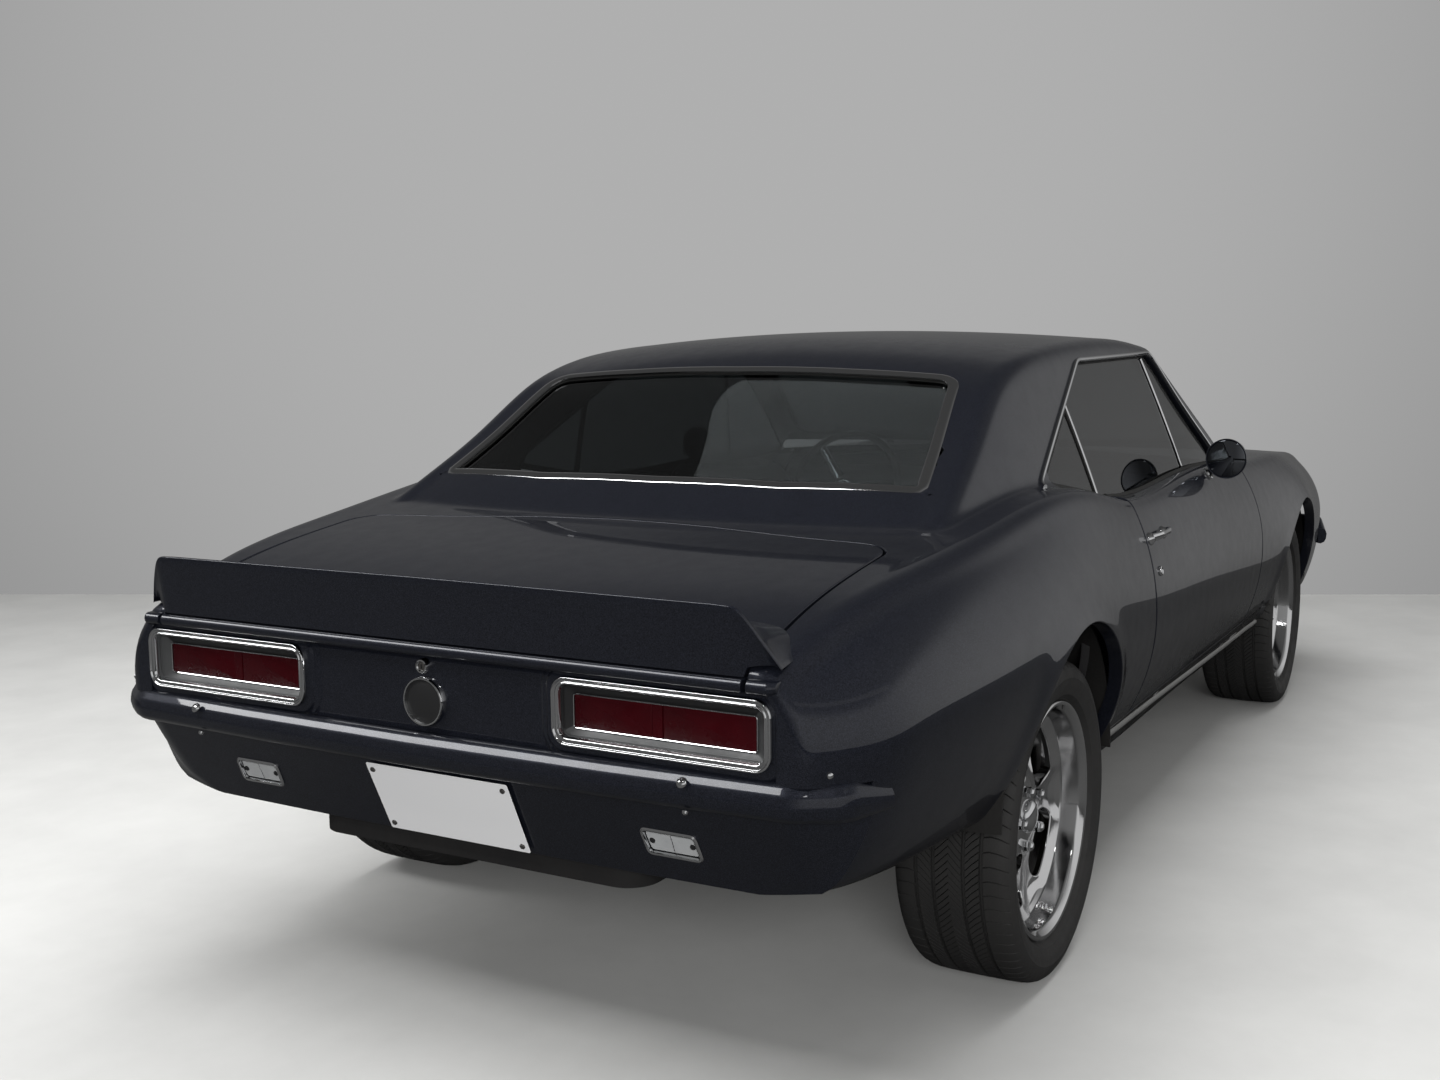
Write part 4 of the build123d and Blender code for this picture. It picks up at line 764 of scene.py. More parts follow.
lining_inside = least(clear_of_openings(lining_points, 0.012), 0.145 - x, x + 1.09, z - 0.97)
lined(lining_points - lining_out * 0.022, lining_out, lining_inside, depth=0.006).done(
    "headlining", "shell", "vinyl", headlining)

# Rear quarter panels
# Each is one deep pressing from the door's edge to the tail, with the wheel arch, the hip over it
# and the rounded corner at the tail.
QUARTER_FRONT = DOOR_REAR_X - 0.009
QUARTER_TAIL = -2.281
LID_GAP = 0.006


def arch_gap(points):
    """How far points are outside the wheel arches."""
    return np.minimum.reduce([np.hypot(points[..., 0] - axle, points[..., 2] - ARCH_Z) - ARCH_R
                              for axle in AXLES])


def ways_of(points):
    """The outward directions of a grid of points."""
    return unit(np.cross(np.gradient(points, axis=1), np.gradient(points, axis=0)))


def tail_corner(points, outward):
    """Adds the rows that round a side's last row over to face the rear, with a flat return."""
    last, way = points[0], outward[0]
    level = unit(way * [0, 1, 1])
    lean = np.arcsin(np.clip(-way[:, :1], 0, 0.95))
    radius = (last[:, :1] - QUARTER_TAIL) / (1 - np.sin(lean))
    centre = last - radius * way
    reach = np.clip((centre[:, 1:2] - 0.7035) / np.maximum(level[:, 1:2], 0.3), 0.006, 0.03)
    rows, ways = [], []
    for turn in np.linspace(0, 1, 9)[1:]:
        angle = lean + (math.pi / 2 - lean) * turn
        ways.append(level * np.cos(angle) + [-1, 0, 0] * np.sin(angle))
        rows.append(centre + radius * ways[-1])
    for part in (0.5, 1.0):
        ways.append(ways[7])
        rows.append(rows[7] - level * reach * part)
    return np.concatenate([rows[::-1], points]), np.concatenate([ways[::-1], outward])


def filler_half(x):
    """Half the width of the filler panel under the rear window."""
    return np.interp(-x, [1.40, 1.46, 1.69], [0.598, 0.622, 0.657])


VALANCE_SIDE_X = -2.178
quarter_points, quarter_out = tail_corner(*grid_of(shell_skin, -2.262, -0.69, 0, 1))
x, y, z = np.moveaxis(quarter_points, -1, 0)
below_tail = np.where(z < 0.5835, x - VALANCE_SIDE_X - 0.001, FAR)
over_bumper = np.where(x < VALANCE_SIDE_X, z - 0.637, FAR)
beside_filler = np.where((x < -1.452) & (z >= 0.85), y - filler_half(x) - 0.001, FAR)
over_tail = np.where((z > 0.72) & (x < -1.6), -within(x, y, LID_OUTLINE) - LID_GAP, FAR)
quarter_inside = least(-above_split(quarter_points), clear_of_openings(quarter_points, EDGE_RADIUS),
                       arch_gap(quarter_points), QUARTER_FRONT - EDGE_RADIUS - x, below_tail, over_bumper,
                       beside_filler, over_tail, z - np.interp(-x, [1.75, 2.18], [0.41, 0.44]))
pressed(quarter_points, quarter_out, quarter_inside, depth=0.03,
        plain=lambda p: above_split(p) > -0.0015).both(
    "quarter_skin_{}", "shell", "paint", paint, ("quarter_panel_{}",))

# Filler panel
# The narrow panel under the rear window, welded between the quarters.
filler_points, filler_out = grid_of(shell_skin, -1.80, -1.44, 0.5, 1, across=True)
x, y, z = np.moveaxis(filler_points, -1, 0)
filler_inside = least(clear_of_openings(filler_points, EDGE_RADIUS), filler_half(x) - np.abs(y) + 0.001,
                      -within(x, y, LID_OUTLINE) - LID_GAP, x + 1.775, -1.44 - x)
pressed(filler_points, filler_out, filler_inside).done("deck_filler_skin", "shell", "paint", paint,
                                                       ("deck_filler",))

# Deck lid
# A shallow crowned pressing hinged at its front edge, with a lip turned down over the tail panel.
lid_points, lid_out = grid_of(shell_skin, -2.29, -1.62, 0.4, 1, across=True)
x, y, z = np.moveaxis(lid_points, -1, 0)
lid_inside = least(within(x, y, LID_OUTLINE) - EDGE_RADIUS, x + 2.279, z - 0.72)
pressed(lid_points, lid_out, lid_inside, depth=0.026, back=lambda p, n: p - n * 0.024).done(
    "deck_lid_skin", "deck_lid", "paint", paint, ("deck_lid",))

# Tail panel
# A pressed panel welded between the quarters, its face stepped round the lamps. The fuel filler's
# screwed cap and the lid's lock are in its middle.
LAMP_Y, LAMP_Z = 0.4885, 0.711
LAMP_WIDTH, LAMP_HEIGHT = 0.417, 0.120
REARWARD = (-1, 0, 0)
FUEL_CAP_AT, LID_LOCK_AT = (-2.262, 0, 0.693), (-2.268, 0, 0.757)
tail_y, tail_z = np.meshgrid(np.linspace(0.701, -0.701, 400), np.linspace(0.584, 0.776, 62))
lamp_hole = box_line(LAMP_WIDTH - 0.02, LAMP_HEIGHT - 0.02, 0.012)
off_lamp = -within(np.abs(tail_y) - LAMP_Y, tail_z - LAMP_Z, lamp_hole)
tail_x = (-2.2705 - 0.0045 * ramp(0.026 - off_lamp, 0.004) - 0.003 * ramp(0.0375 - off_lamp, 0.003)
          + 0.004 * ramp(tail_z - 0.7675, 0.003))
tail_points = np.stack([tail_x, tail_y, tail_z], -1)
pressed(tail_points, ways_of(tail_points), off_lamp - EDGE_RADIUS, depth=0.012).done(
    "tail_panel_skin", "shell", "paint", paint, ("tail_panel",))
made("fuel_cap", "shell", "chrome",
     [fitting([(0, 36), (0, 45), (18, 45), (21, 43), (21, 40.5), (16.5, 39), (16.5, 36)], 72, REARWARD,
              FUEL_CAP_AT),
      fitting([(4, 0), (4, 40), (16.5, 39.5), (17.5, 34), (19, 30), (19.5, 0)], 72, REARWARD, FUEL_CAP_AT, 1)],
     chrome, satin_black)
made("lid_lock", "shell", "chrome",
     [fitting([(0, 8), (0, 13.5), (12, 13.5), (15, 12), (15.5, 9.5), (13.5, 8)], 48, REARWARD, LID_LOCK_AT),
      fitting([(0, 0), (0, 9), (12.5, 8.5), (13.5, 6), (13.5, 0)], 32, REARWARD, LID_LOCK_AT, 1),
      (*block((-2.2828, -0.001, 0.753), (-2.2798, 0.001, 0.761)), 2)],
     chrome, bare_steel, satin_black)

# Tail lamps
# Chrome-plated die-cast bezels with a double lip, screwed to the tail panel. Behind each a box with a
# satin grey shelf holds a red lens in two sections, with a thin bright edge. The box's top and inboard
# walls are satin black as painted shade.
satin_grey = finish("satin_grey", (0.075, 0.077, 0.078), (0.06, 0.061, 0.062), (0.35, 0.5), 300.0, relief=0.15,
                    Metallic=0.3)
red_lens = finish("red_lens", (0.036, 0.0012, 0.003), (0.020, 0.001, 0.002), (0.2, 0.35), 900.0, patch=26.0,
                  relief=0.4, Specular_IOR_Level=0.15, Coat_Weight=0.15, Coat_Roughness=0.05)
BEZEL_PROFILE = rounded([(-7.8, -8), (-7.8, 7), (-6.2, 11.5), (-3.4, 12.5), (-1.6, 9.5), (0.8, 9), (2.8, 11.5),
                         (6, 9.5), (8.2, 3.5), (8.2, -5)], 1.4, steps=2)
LENS_SHIFT, LENS_RISE = -0.004, -0.0035


def lamp_ring(width, height, radius, x, shift=0.0, rise=0.0):
    """A rounded rectangle about the lamp's middle, facing the rear."""
    line = box_line(width, height, radius)
    return np.stack([line[:, 0] * 0 + x, line[:, 0] + LAMP_Y + shift, line[:, 1] + LAMP_Z + rise], 1)


recess = tube([lamp_ring(*size) for size in (
    (0.405, 0.108, 0.016, -2.2725), (0.400, 0.103, 0.014, -2.278), (0.393, 0.096, 0.012, -2.276),
    (0.386, 0.089, 0.010, -2.266), (0.351, 0.061, 0.006, -2.2585, LENS_SHIFT, LENS_RISE),
    (0.340, 0.050, 0.004, -2.2535, LENS_SHIFT, LENS_RISE), (0.405, 0.108, 0.014, -2.250))], loop=True)
# The recess's top and inboard walls get satin black as painted shade; its lower shelf and outboard end keep the
# satin grey.
corners = recess[0][np.array(recess[1])]
face_x = corners[..., 0].mean(1)
lit_shelf_or_end = (corners[..., 2].min(1) < LAMP_Z - 0.038) | (corners[..., 1].min(1) > LAMP_Y + 0.166)
recess_painted_shade = (lit_shelf_or_end & (face_x > -2.277) & (face_x < -2.2565)).astype(int).tolist()
lens_edge = swept(lamp_ring(0.349, 0.0585, 0.005, -2.2595, LENS_SHIFT, LENS_RISE),
                  [(-1.1, -2), (-1.1, 1.6), (0, 2.4), (1.1, 1.6), (1.1, -2)], REARWARD)
lens_parts = [tube([[(x, y * k + (y0 + y1) / 2, z * k + LAMP_Z + LENS_RISE)
                     for y, z in box_line(y1 - y0, 0.057, 0.003)]
                    for k, x in ((0.97, -2.2605), (0.99, -2.2598), (1, -2.259), (1, -2.2545))])
              for y0, y1 in ((0.3115, 0.4645), (0.4655, 0.4845), (0.4855, 0.6575))]
bezel_line = lamp_ring(LAMP_WIDTH - 0.0156, LAMP_HEIGHT - 0.0156, 0.023, -2.2755)
made_pair("lamp_bezel_{}", "shell", "chrome", [swept(bezel_line, BEZEL_PROFILE, REARWARD)], chrome,
          replaces=("taillamp_bezels",))
made_pair("lamp_box_{}", "shell", "black_plastic", [(*recess, recess_painted_shade)], satin_black, satin_grey,
          replaces=("taillamp_lenses",))
made_pair("lamp_lens_{}", "shell", "red_lens", [*lens_parts, (*lens_edge, 1)], red_lens, chrome,
          replaces=("taillamp_lenses",))

# Lid lip and spoiler
# The lip is a rounded rib along the lid's rear edge, and each quarter carries it on. The spoiler is
# one moulding bolted to the lid, hollow behind and scooped on top, with ends swept down to points.
RIB = rounded_mm([(-2256, 781), (-2291, 778), (-2297, 789), (-2290, 800), (-2256, 803)], [0, 8, 12, 9, 0],
                 steps=5)
made("lid_lip", "deck_lid", "paint",
     [tube([[(x, y, z) for x, z in RIB] for y in np.linspace(-0.6475, 0.6475, 9)])], paint, bevel=0.0015)
made_pair("tail_rib_{}", "shell", "paint",
          [tube([[(x, y, z) for x, z in RIB] for y in (0.6555, 0.675, 0.692)]
                + [[(x + 0.010, 0.704, z * 0.75 + 0.1975) for x, z in RIB]])], paint, bevel=0.0015)
LIP_TOP_Z = 0.8035
OVER_QUARTER_Y, OVER_QUARTER_GAP = 0.650, 0.007
SPOILER_EDGE = 0.0032
# Per row across the car: y, trailing edge x and z, foot x and z.
SPOILER_ROWS = np.array([
    (0, -2300, 920, -2140, 866), (600, -2300, 918, -2140, 862), (644, -2299, 916, -2146, 858),
    (672, -2284, 872, -2166, 850), (703, -2262, 818, -2196, 828)]) / 1000


def bend_through(start, middle, end, steps=9):
    """A curve from start to end that passes through a middle point."""
    t = np.linspace(0, 1, steps)[:, None]
    start, middle, end = (np.array(p) for p in (start, middle, end))
    return start * (1 - t) ** 2 + (2 * middle - (start + end) / 2) * 2 * t * (1 - t) + end * t ** 2


spoiler_ys = np.linspace(-0.703, 0.703, 281)
spoiler_rows = smoothed(np.stack([np.interp(np.abs(spoiler_ys), SPOILER_ROWS[:, 0], SPOILER_ROWS[:, k])
                                  for k in range(1, 5)], 1), 1.6, 1.0)
spoiler_rings = []
for y, (edge_x, edge_z, foot_x, foot_z) in zip(spoiler_ys, spoiler_rows):
    low_x = min(edge_x + 0.013, foot_x - 0.01)
    low_z, foot_low = LIP_TOP_Z, foot_z - 0.012
    if abs(y) > OVER_QUARTER_Y:
        low_z = max(LIP_TOP_Z, body_skin.at(low_x, y=abs(y))[0][2] + OVER_QUARTER_GAP)
        foot_low = body_skin.at(foot_x, y=abs(y))[0][2] + OVER_QUARTER_GAP
    hollow = bend_through((low_x, low_z), (edge_x + 0.007, (edge_z + low_z) / 2), (edge_x, edge_z - 0.0036))
    edge = [(edge_x + SPOILER_EDGE * (1 - math.cos(a)), edge_z - SPOILER_EDGE * (1 - math.sin(a)))
            for a in (0.3, 0.6, 0.9, 1.2)]
    scoop = bend_through((edge_x + 0.004, edge_z),
                         (0.62 * edge_x + 0.38 * foot_x, 0.45 * edge_z + 0.55 * foot_z - 0.003),
                         (foot_x, foot_z))
    foot = [(foot_x - 0.004, min(foot_low, foot_z - 0.002)), (min(-2.262, foot_x - 0.006), low_z)]
    spoiler_rings.append([(x, y, z) for x, z in np.concatenate([hollow, edge, scoop, foot])])
made("spoiler_moulding", "deck_lid", "paint", [tube(spoiler_rings)], paint, replaces=("spoiler",), sharp=40)

# Rear bumper
# A pressed steel bar in body colour with a crease along it, wrapped round the corners on hidden
# irons, and held by four dome-headed chrome bolts. A satin black strip behind the bar fills the gap to
# the tail panel as painted shade.
BUMPER_PLAN = rounded([(-2.3175, 0), (-2.311, 0.4), (-2.296, 0.735), (-2.246, 0.812), (-2.15, 0.846)],
                      [0, 0.9, 0.10, 0.08, 0], closed=False, steps=9)
BUMPER_PROFILE = rounded_mm([(-34, 630), (-30, 641), (-16, 639), (-3, 622), (0, 605), (-4, 588), (-14, 579),
                             (-27, 577), (-34, 580)], [2, 5, 18, 20, 18, 16, 10, 4, 2], steps=6)
SHADE_STRIP_PROFILE = np.array([(-38, 588), (-35, 588), (-35, 634), (-38, 634)]) / 1000


def bar_rings(plan, profile, low, tip=0.05, thin=1.0):
    """Rings of an upright profile along a plan from one tip to the other, rounded off at both."""
    plan = np.concatenate([(plan * [1, -1])[:0:-1], plan])
    along = unit(np.gradient(plan, axis=0))
    out = np.stack([-along[:, 1], along[:, 0]], 1)
    run = run_along(plan)
    rings = []
    for here, way, s in zip(plan, out, run):
        left = min(s, run[-1] - s)
        ease = 1 - 0.42 * (1 - min(left / tip, 1)) ** 2
        depth = thin + (1 - thin) * min(left / 0.16, 1)
        rings.append([(*(here + way * a * depth), low + (z - low) * ease) for a, z in profile])
    return rings


made("rear_bumper_bar", "shell", "paint",
     [tube(bar_rings(BUMPER_PLAN, BUMPER_PROFILE, 0.590, tip=0.09, thin=0.5))], paint,
     replaces=("rear_bumper",))
# Painted shade: a satin black strip set behind the bar darkens the gap between it and the tail panel.
made("bumper_shade_strip", "shell", "black_plastic",
     [tube(bar_rings(BUMPER_PLAN, SHADE_STRIP_PROFILE, 0.588, thin=0.75))], satin_black)
BOLT = [(0, 0), (0, 9.5), (2, 9), (4.5, 6.8), (6, 3), (6.4, 0)]
NUB = [(0, 0), (0, 6), (4, 5), (6, 2), (6, 0)]
bolt_parts = []
for s in (1, -1):
    bolt_parts += [fitting(BOLT, 32, (-0.75, s * 0.05, 0.65), (-2.3065, s * 0.547, 0.627)),
                   fitting(NUB, 24, (-0.5, 0, -0.8), (-2.296, s * 0.547, 0.577)),
                   fitting(NUB, 24, (-0.6, s * 0.8, 0), body_skin.at(-2.25, z=0.655)[0] * [1, s, 1])]
made("bumper_bolts", "shell", "chrome", bolt_parts, chrome)

# Rear valance
# The panel under the bumper, wrapped round the corners to the quarters, with the reverse lamps and
# the plate on its slanted face.
VALANCE_BEND_X = -2.284
VALANCE_WAY = (-0.908, 0, -0.419)


def valance_x(z):
    """Where the valance's slanted face is at a height."""
    return -2.262 + (0.582 - z) * 0.462


def wrapped_row(line, z, fine, fine_count, count):
    """A row of points across the car, from a half line that is sampled finely up to a distance."""
    run = run_along(line)
    steps = np.concatenate([np.linspace(0, fine, fine_count)[:-1], np.linspace(fine, run[-1], count)])
    half = np.stack([np.interp(steps, run, line[:, 0]), np.interp(steps, run, line[:, 1]), steps * 0 + z], 1)
    return np.concatenate([half, (half * [1, -1, 1])[-2::-1]])


valance_rows = []
for z in np.linspace(0.404, 0.584, 32):
    side_y, corner_y = (body_skin.point(x, body_skin.share(x, z=z))[1]
                        for x in (VALANCE_SIDE_X, VALANCE_BEND_X))
    line = rounded([(VALANCE_SIDE_X, side_y), (valance_x(z), corner_y), (valance_x(z), 0)], 0.085,
                   closed=False, steps=14)
    valance_rows.append(wrapped_row(line, z, 0.2, 34, 60))
valance_points = np.array(valance_rows)
x, y, z = np.moveaxis(valance_points, -1, 0)
REVERSE_LAMP = rounded([(0.424, 0.465), (0.527, 0.465), (0.523, 0.511), (0.420, 0.511)], 0.008)
valance_low = np.interp(np.abs(y), [0.3, 0.62, 0.73, 0.85], [0.412, 0.416, 0.434, 0.437])
valance_inside = least(z - valance_low, -within(np.abs(y), z, REVERSE_LAMP) - 0.001)
pressed(valance_points, ways_of(valance_points), valance_inside, depth=0.016).done(
    "rear_valance_skin", "shell", "paint", paint, ("rear_valance",))


def on_valance(outline, lift=0.0):
    """Places across and up, laid on the valance's slanted face."""
    return np.array([(valance_x(z) - lift * 0.908, y, z - lift * 0.419) for y, z in outline])


clear_lens = finish("clear_lens", (0.55, 0.56, 0.56), (0.38, 0.39, 0.4), (0.08, 0.2), 700.0, patch=30.0,
                    relief=0.5, Coat_Weight=1.0)
inward = -np.array(VALANCE_WAY)
lamp_inner = rounded([(0.4285, 0.4695), (0.5225, 0.4695), (0.5185, 0.5065), (0.4245, 0.5065)], 0.006)
lens_rib = on_valance([(0.4735, 0.471), (0.475, 0.471), (0.475, 0.505), (0.4735, 0.505)], -0.0012)
lamp_edge = [(-4.5, -4), (-4.5, 2), (-2, 4.5), (1.5, 4), (2.5, 1), (2.5, -4)]
reverse_parts = [swept(on_valance(REVERSE_LAMP), lamp_edge, VALANCE_WAY),
                 (*slab(on_valance(lamp_inner, -0.002), inward * 0.004), 1), slab(lens_rib, inward * 0.003)]
reverse_parts += [fitting(NUB, 24, VALANCE_WAY, on_valance([(y, 0.488)], -0.004)[0], 2)
                  for y in (0.4345, 0.5135)]
made_pair("reverse_lamp_{}", "shell", "chrome", reverse_parts, chrome, clear_lens, satin_black)
plate_white = finish("plate_white", (0.9, 0.9, 0.9), (0.86, 0.86, 0.87), (0.3, 0.4), 300.0, patch=2.0,
                     relief=0.02)
plate_line = rounded([(-0.162, 0.4175), (0.162, 0.4175), (0.162, 0.560), (-0.162, 0.560)], 0.004)
plate_holder = on_valance([(-0.06, 0.45), (0.06, 0.45), (0.06, 0.54), (-0.06, 0.54)], 0.005)
plate_screws = [fitting(NUB, 24, VALANCE_WAY, on_valance([(y, z)], 0.0065)[0], 1)
                for y in (-0.149, 0.149) for z in (0.431, 0.547)]
made("number_plate", "shell", "black_plastic",
     [slab(on_valance(plate_line, 0.008), inward * 0.002), (*slab(plate_holder, inward * 0.006), 2),
      *plate_screws], plate_white, bare_steel, chassis_black, bevel=0.0008)

# Doors
# Long frameless doors, each a pressed skin folded round an inner pressing, with a vinyl trim pad.
DOOR_FRONT_X = 0.686
DOOR_LOW_Z = 0.4235
door_points, door_out = grid_of(body_skin, -0.71, 0.70, 0, 0.8)
x, y, z = np.moveaxis(door_points, -1, 0)
door_inside = least(x - DOOR_REAR_X - EDGE_RADIUS, DOOR_FRONT_X - EDGE_RADIUS - x, z - DOOR_LOW_Z,
                    y - np.interp(x, [0.6, 0.7], [0.7785, 0.78]))
pressed(door_points, door_out, door_inside, depth=0.07, inward=(0, -1, 0)).both(
    "door_skin_{}", "door_{}", "paint", paint, ("door_{}",))

# Sills
# The rocker panels between the wheels are welded box sections, with a bright strip along each edge.
rocker_points, rocker_out = grid_of(body_skin, -0.98, 1.06, 0, 0.4)
rocker_inside = least(0.4115 - rocker_points[..., 2], arch_gap(rocker_points) - 0.001)
pressed(rocker_points, rocker_out, rocker_inside, depth=0.016).both("rocker_{}", "shell", "paint", paint)
brushed_trim = finish("brushed_trim", (0.5, 0.5, 0.49), (0.36, 0.36, 0.35), (0.3, 0.5), 240.0, patch=14.0,
                      Metallic=0.35)
sill_line = [(x, np.interp(x, [-0.925, 1.016], [0.395, 0.354])) for x in np.linspace(-0.938, 1.026, 60)]
sill_path, sill_way = laid(body_skin, sill_line, 0.0015)
made_pair("sill_strip_{}", "shell", "chrome", [swept(sill_path, strip(26, 6), sill_way, loop=False)],
          brushed_trim)

# Window glass
# Tinted safety glass five millimetres thick. The windscreen and rear window are bonded in under
# their mouldings, the quarter lights sit in rubber, and the door glass slides in felt channels.
tinted_glass = finish("tinted_glass", (0.13, 0.142, 0.145), (0.12, 0.132, 0.135), (0.0, 0.015), 40.0,
                      relief=0.0, Transmission_Weight=1.0, IOR=1.5)
DOOR_GLASS = rounded([(0.540, 0.888), (0.580, 0.941), (0.088, 1.2665), (-0.589, 1.2565), (-0.7475, 1.172),
                      (-0.6985, 0.936), (-0.688, 0.888)], [0.01, 0.01, 0.046, 0.09, 0.004, 0.01, 0.01])
QUARTER_GLASS = rounded([(-0.757, 1.168), (-1.070, 1.0025), (-0.707, 0.942)], [0.004, 0.02, 0.006])


def pane(skin_grid, outline, up, beyond=0.0):
    """A pane cut from a skin to an outline, a little way behind it, with its edge and back."""
    points, outward = skin_grid
    inside = within(points[..., 0], points[..., up], outline) + beyond
    return pressed(points - outward * 0.009, outward, inside, radius=0.001, depth=0.005,
                   back=lambda p, n: p - n * 0.005)


side_grid = grid_of(cabin_skin, -1.12, 0.63, 0.0, 0.7, skip=2)
for name, low_x, high_x, opening, node in (("windscreen_pane", 0.08, 0.80, SCREEN_OPENING, "windshield"),
                                           ("rear_window_pane", -1.54, -1.03, BACK_OPENING, "rear_window")):
    pane(grid_of(cabin_skin, low_x, high_x, 0.3, 1, across=True, skip=2), opening, 1, 0.007).done(
        name, "shell", "glass", tinted_glass, (node,))
pane(side_grid, DOOR_GLASS, 2).both("door_pane_{}", "door_{}", "glass", tinted_glass, ("door_glass_{}",))
pane(side_grid, QUARTER_GLASS, 2).both("quarter_pane_{}", "shell", "glass", tinted_glass, ("quarter_glass",))

# Mouldings and weatherstrips
# Bright anodised strips clip over the flanges round the windscreen, the rear window and along the
# drip rails, and black rubber seals the side glass.
def side_strip(name, body, slot, skin, line, step, lift, profile, material, closed=False, **settings):
    """A strip along a line on the car's left side, and its mirror image on the right."""
    path, way = laid(skin, spaced(line, step, closed=closed), lift)
    made_pair(name, body, slot, [swept(path, profile, way, loop=closed)], material, **settings)


for name, opening, width in (("screen", SCREEN_OPENING, 18), ("rear_window", BACK_OPENING, 24)):
    path, way = laid(shell_skin, spaced(opening, 0.012), top=True)
    made(f"{name}_moulding", "shell", "chrome", [swept(path, strip(width, 4.5), way)], chrome)
    made(f"{name}_seal", "shell", "black_plastic",
         [swept(path - way * 0.008, [(-9, -3), (-9, 1), (-6, 4), (9, 5), (9, -3)], way)], black_rubber)
DRIP_LINE = rounded([(-1.096, 0.998), (-0.592, 1.2675), (0.094, 1.2785), (0.606, 0.943)], [0, 0.1, 0.055, 0],
                    closed=False)
WINDOW_LINE = rounded([(-0.71, 0.940), (-1.077, 1.001), (-0.590, 1.2605), (0.092, 1.2705), (0.589, 0.944)],
                      [0, 0.03, 0.1, 0.05, 0], closed=False)
side_strip("drip_moulding_{}", "shell", "chrome", shell_skin, DRIP_LINE, 0.012, 0, strip(10, 7), chrome)
side_strip("quarter_seal_{}", "shell", "black_plastic", cabin_skin, QUARTER_GLASS, 0.008, -0.008,
           [(-3, -8.5), (-3, 1.5), (2, 3), (13, 2), (13, -8.5)], black_rubber, closed=True)
side_strip("window_seal_{}", "shell", "black_plastic", shell_skin, WINDOW_LINE, 0.01, -0.019,
           [(-6, -3), (-6, 1.5), (-2, 3.5), (3, 3), (3, -3)], black_rubber)
side_strip("division_bar_{}", "shell", "chrome", cabin_skin, [(-0.7085, 0.930), (-0.7565, 1.172)], 0.02,
           -0.010, [(-5, -6), (-6, 3), (-3, 6.5), (3, 6.5), (6, 3), (5, -6)], chrome, bevel=0.001)
side_strip("vent_bar_{}", "door_{}", "chrome", cabin_skin, [(0.196, 0.934), (0.020, 1.2645)], 0.02, -0.0085,
           [(-5, -7), (-6, 2), (-2, 4.5), (2, 4.5), (6, 2), (5, -7)], chrome)
belt_rings = []
for x in np.linspace(-0.684, 0.572, 50):
    glass_y = cabin_skin.at(x, z=0.938)[0][1] - 0.007
    door_top = body_skin.at(x, y=0.779)[0][2]
    belt_rings.append([(x, 0.7775, door_top - 0.012), (x, glass_y, 0.918),
                       (x, glass_y + 0.001, door_top + 0.003), (x, 0.5 * glass_y + 0.389, door_top + 0.0065),
                       (x, 0.7775, door_top + 0.002)])
made_pair("belt_seal_{}", "door_{}", "black_plastic", [tube(belt_rings)], black_rubber, bevel=0.001)

# Mirrors, handles and locks
# Round mirrors in painted cups on short bright stalks, chrome handles with push buttons, and lock
# barrels below them.
# The mirror glass is a dark silver, a painted dark reflection; real mirror glass reflects far more light.
mirror_silver = finish("mirror_silver", (0.2, 0.21, 0.23), (0.18, 0.19, 0.21), (0.01, 0.03), 60.0, relief=0.0,
                       Metallic=1.0)
MIRROR_AT = (0.190, 0.878, 0.974)
HANDLE_Z = 0.842
FORWARD = (1, 0, 0)
cup = [(1.5, 0), (1.5, 53), (-2, 54.5), (-2.5, 56.2), (0, 57.2), (6, 57.5), (15, 54.5), (24, 48), (31, 37),
       (34.5, 22), (35.5, 0)]
reflector = [(-0.5, 0), (-0.5, 51.5), (0, 52.5), (1, 52.5), (1, 0)]
stalk = [(0, 0), (0, 19), (3, 18.5), (8, 12.5), (16, 9.5), (40, 8), (62, 9), (62, 0)]
made_pair("mirror_cup_{}", "door_{}", "paint", [fitting(cup, 96, FORWARD, MIRROR_AT)], paint,
          replaces=("mirror_{}",))
made_pair("mirror_glass_{}", "door_{}", "glass", [fitting(reflector, 96, FORWARD, MIRROR_AT)], mirror_silver,
          replaces=("mirror_{}",))
made_pair("mirror_stalk_{}", "door_{}", "chrome", [fitting(stalk, 40, (0, 52, 44), (0.204, 0.826, 0.9285))],
          chrome, replaces=("mirror_{}",))
handle_rings = []
round_lever = np.linspace(0, 2 * math.pi, 15)[:-1]
for t in np.linspace(0, 1, 22):
    place, way = body_skin.at(-0.668 + 0.156 * t, z=HANDLE_Z)
    arch = math.sin(math.pi * t)
    rise = 0.023 * min(1, arch * 1.7) ** 0.8 + 0.001
    tall = 0.0075 + 0.0035 * (1 - arch)
    handle_rings.append([place + way * (rise + 0.0055 * math.cos(a)) + np.array([0, 0, tall * math.sin(a)])
                         for a in round_lever])
lever_foot = [(-2, 0), (-2, 16.5), (2, 16), (7, 11.5), (12, 9.5), (12, 0)]
button = [(0, 0), (0, 9.5), (14.5, 9.5), (16, 8.5), (16.5, 6), (15.5, 0)]
barrel = [(-1, 0), (-1, 12.5), (2, 12.5), (4.5, 11.5), (5.5, 9), (4.5, 7.5), (4.5, 0)]
handle_parts = [tube(handle_rings)]
for x, z, profile in ((-0.660, HANDLE_Z, lever_foot), (-0.520, HANDLE_Z, lever_foot),
                      (-0.646, HANDLE_Z, button), (-0.634, 0.762, barrel)):
    place, way = body_skin.at(x, z=z)
    handle_parts.append(fitting(profile, 32, way, place))
made_pair("handle_{}", "door_{}", "chrome", handle_parts, chrome)

# Front fenders
# Bolted pressings from the nose to the doors, with the arch opening and a level top beside the hood.
FENDER_REAR_X = 0.6975
NOSE_FACE_X = 2.282
NOSE_BOW_R = 3.1


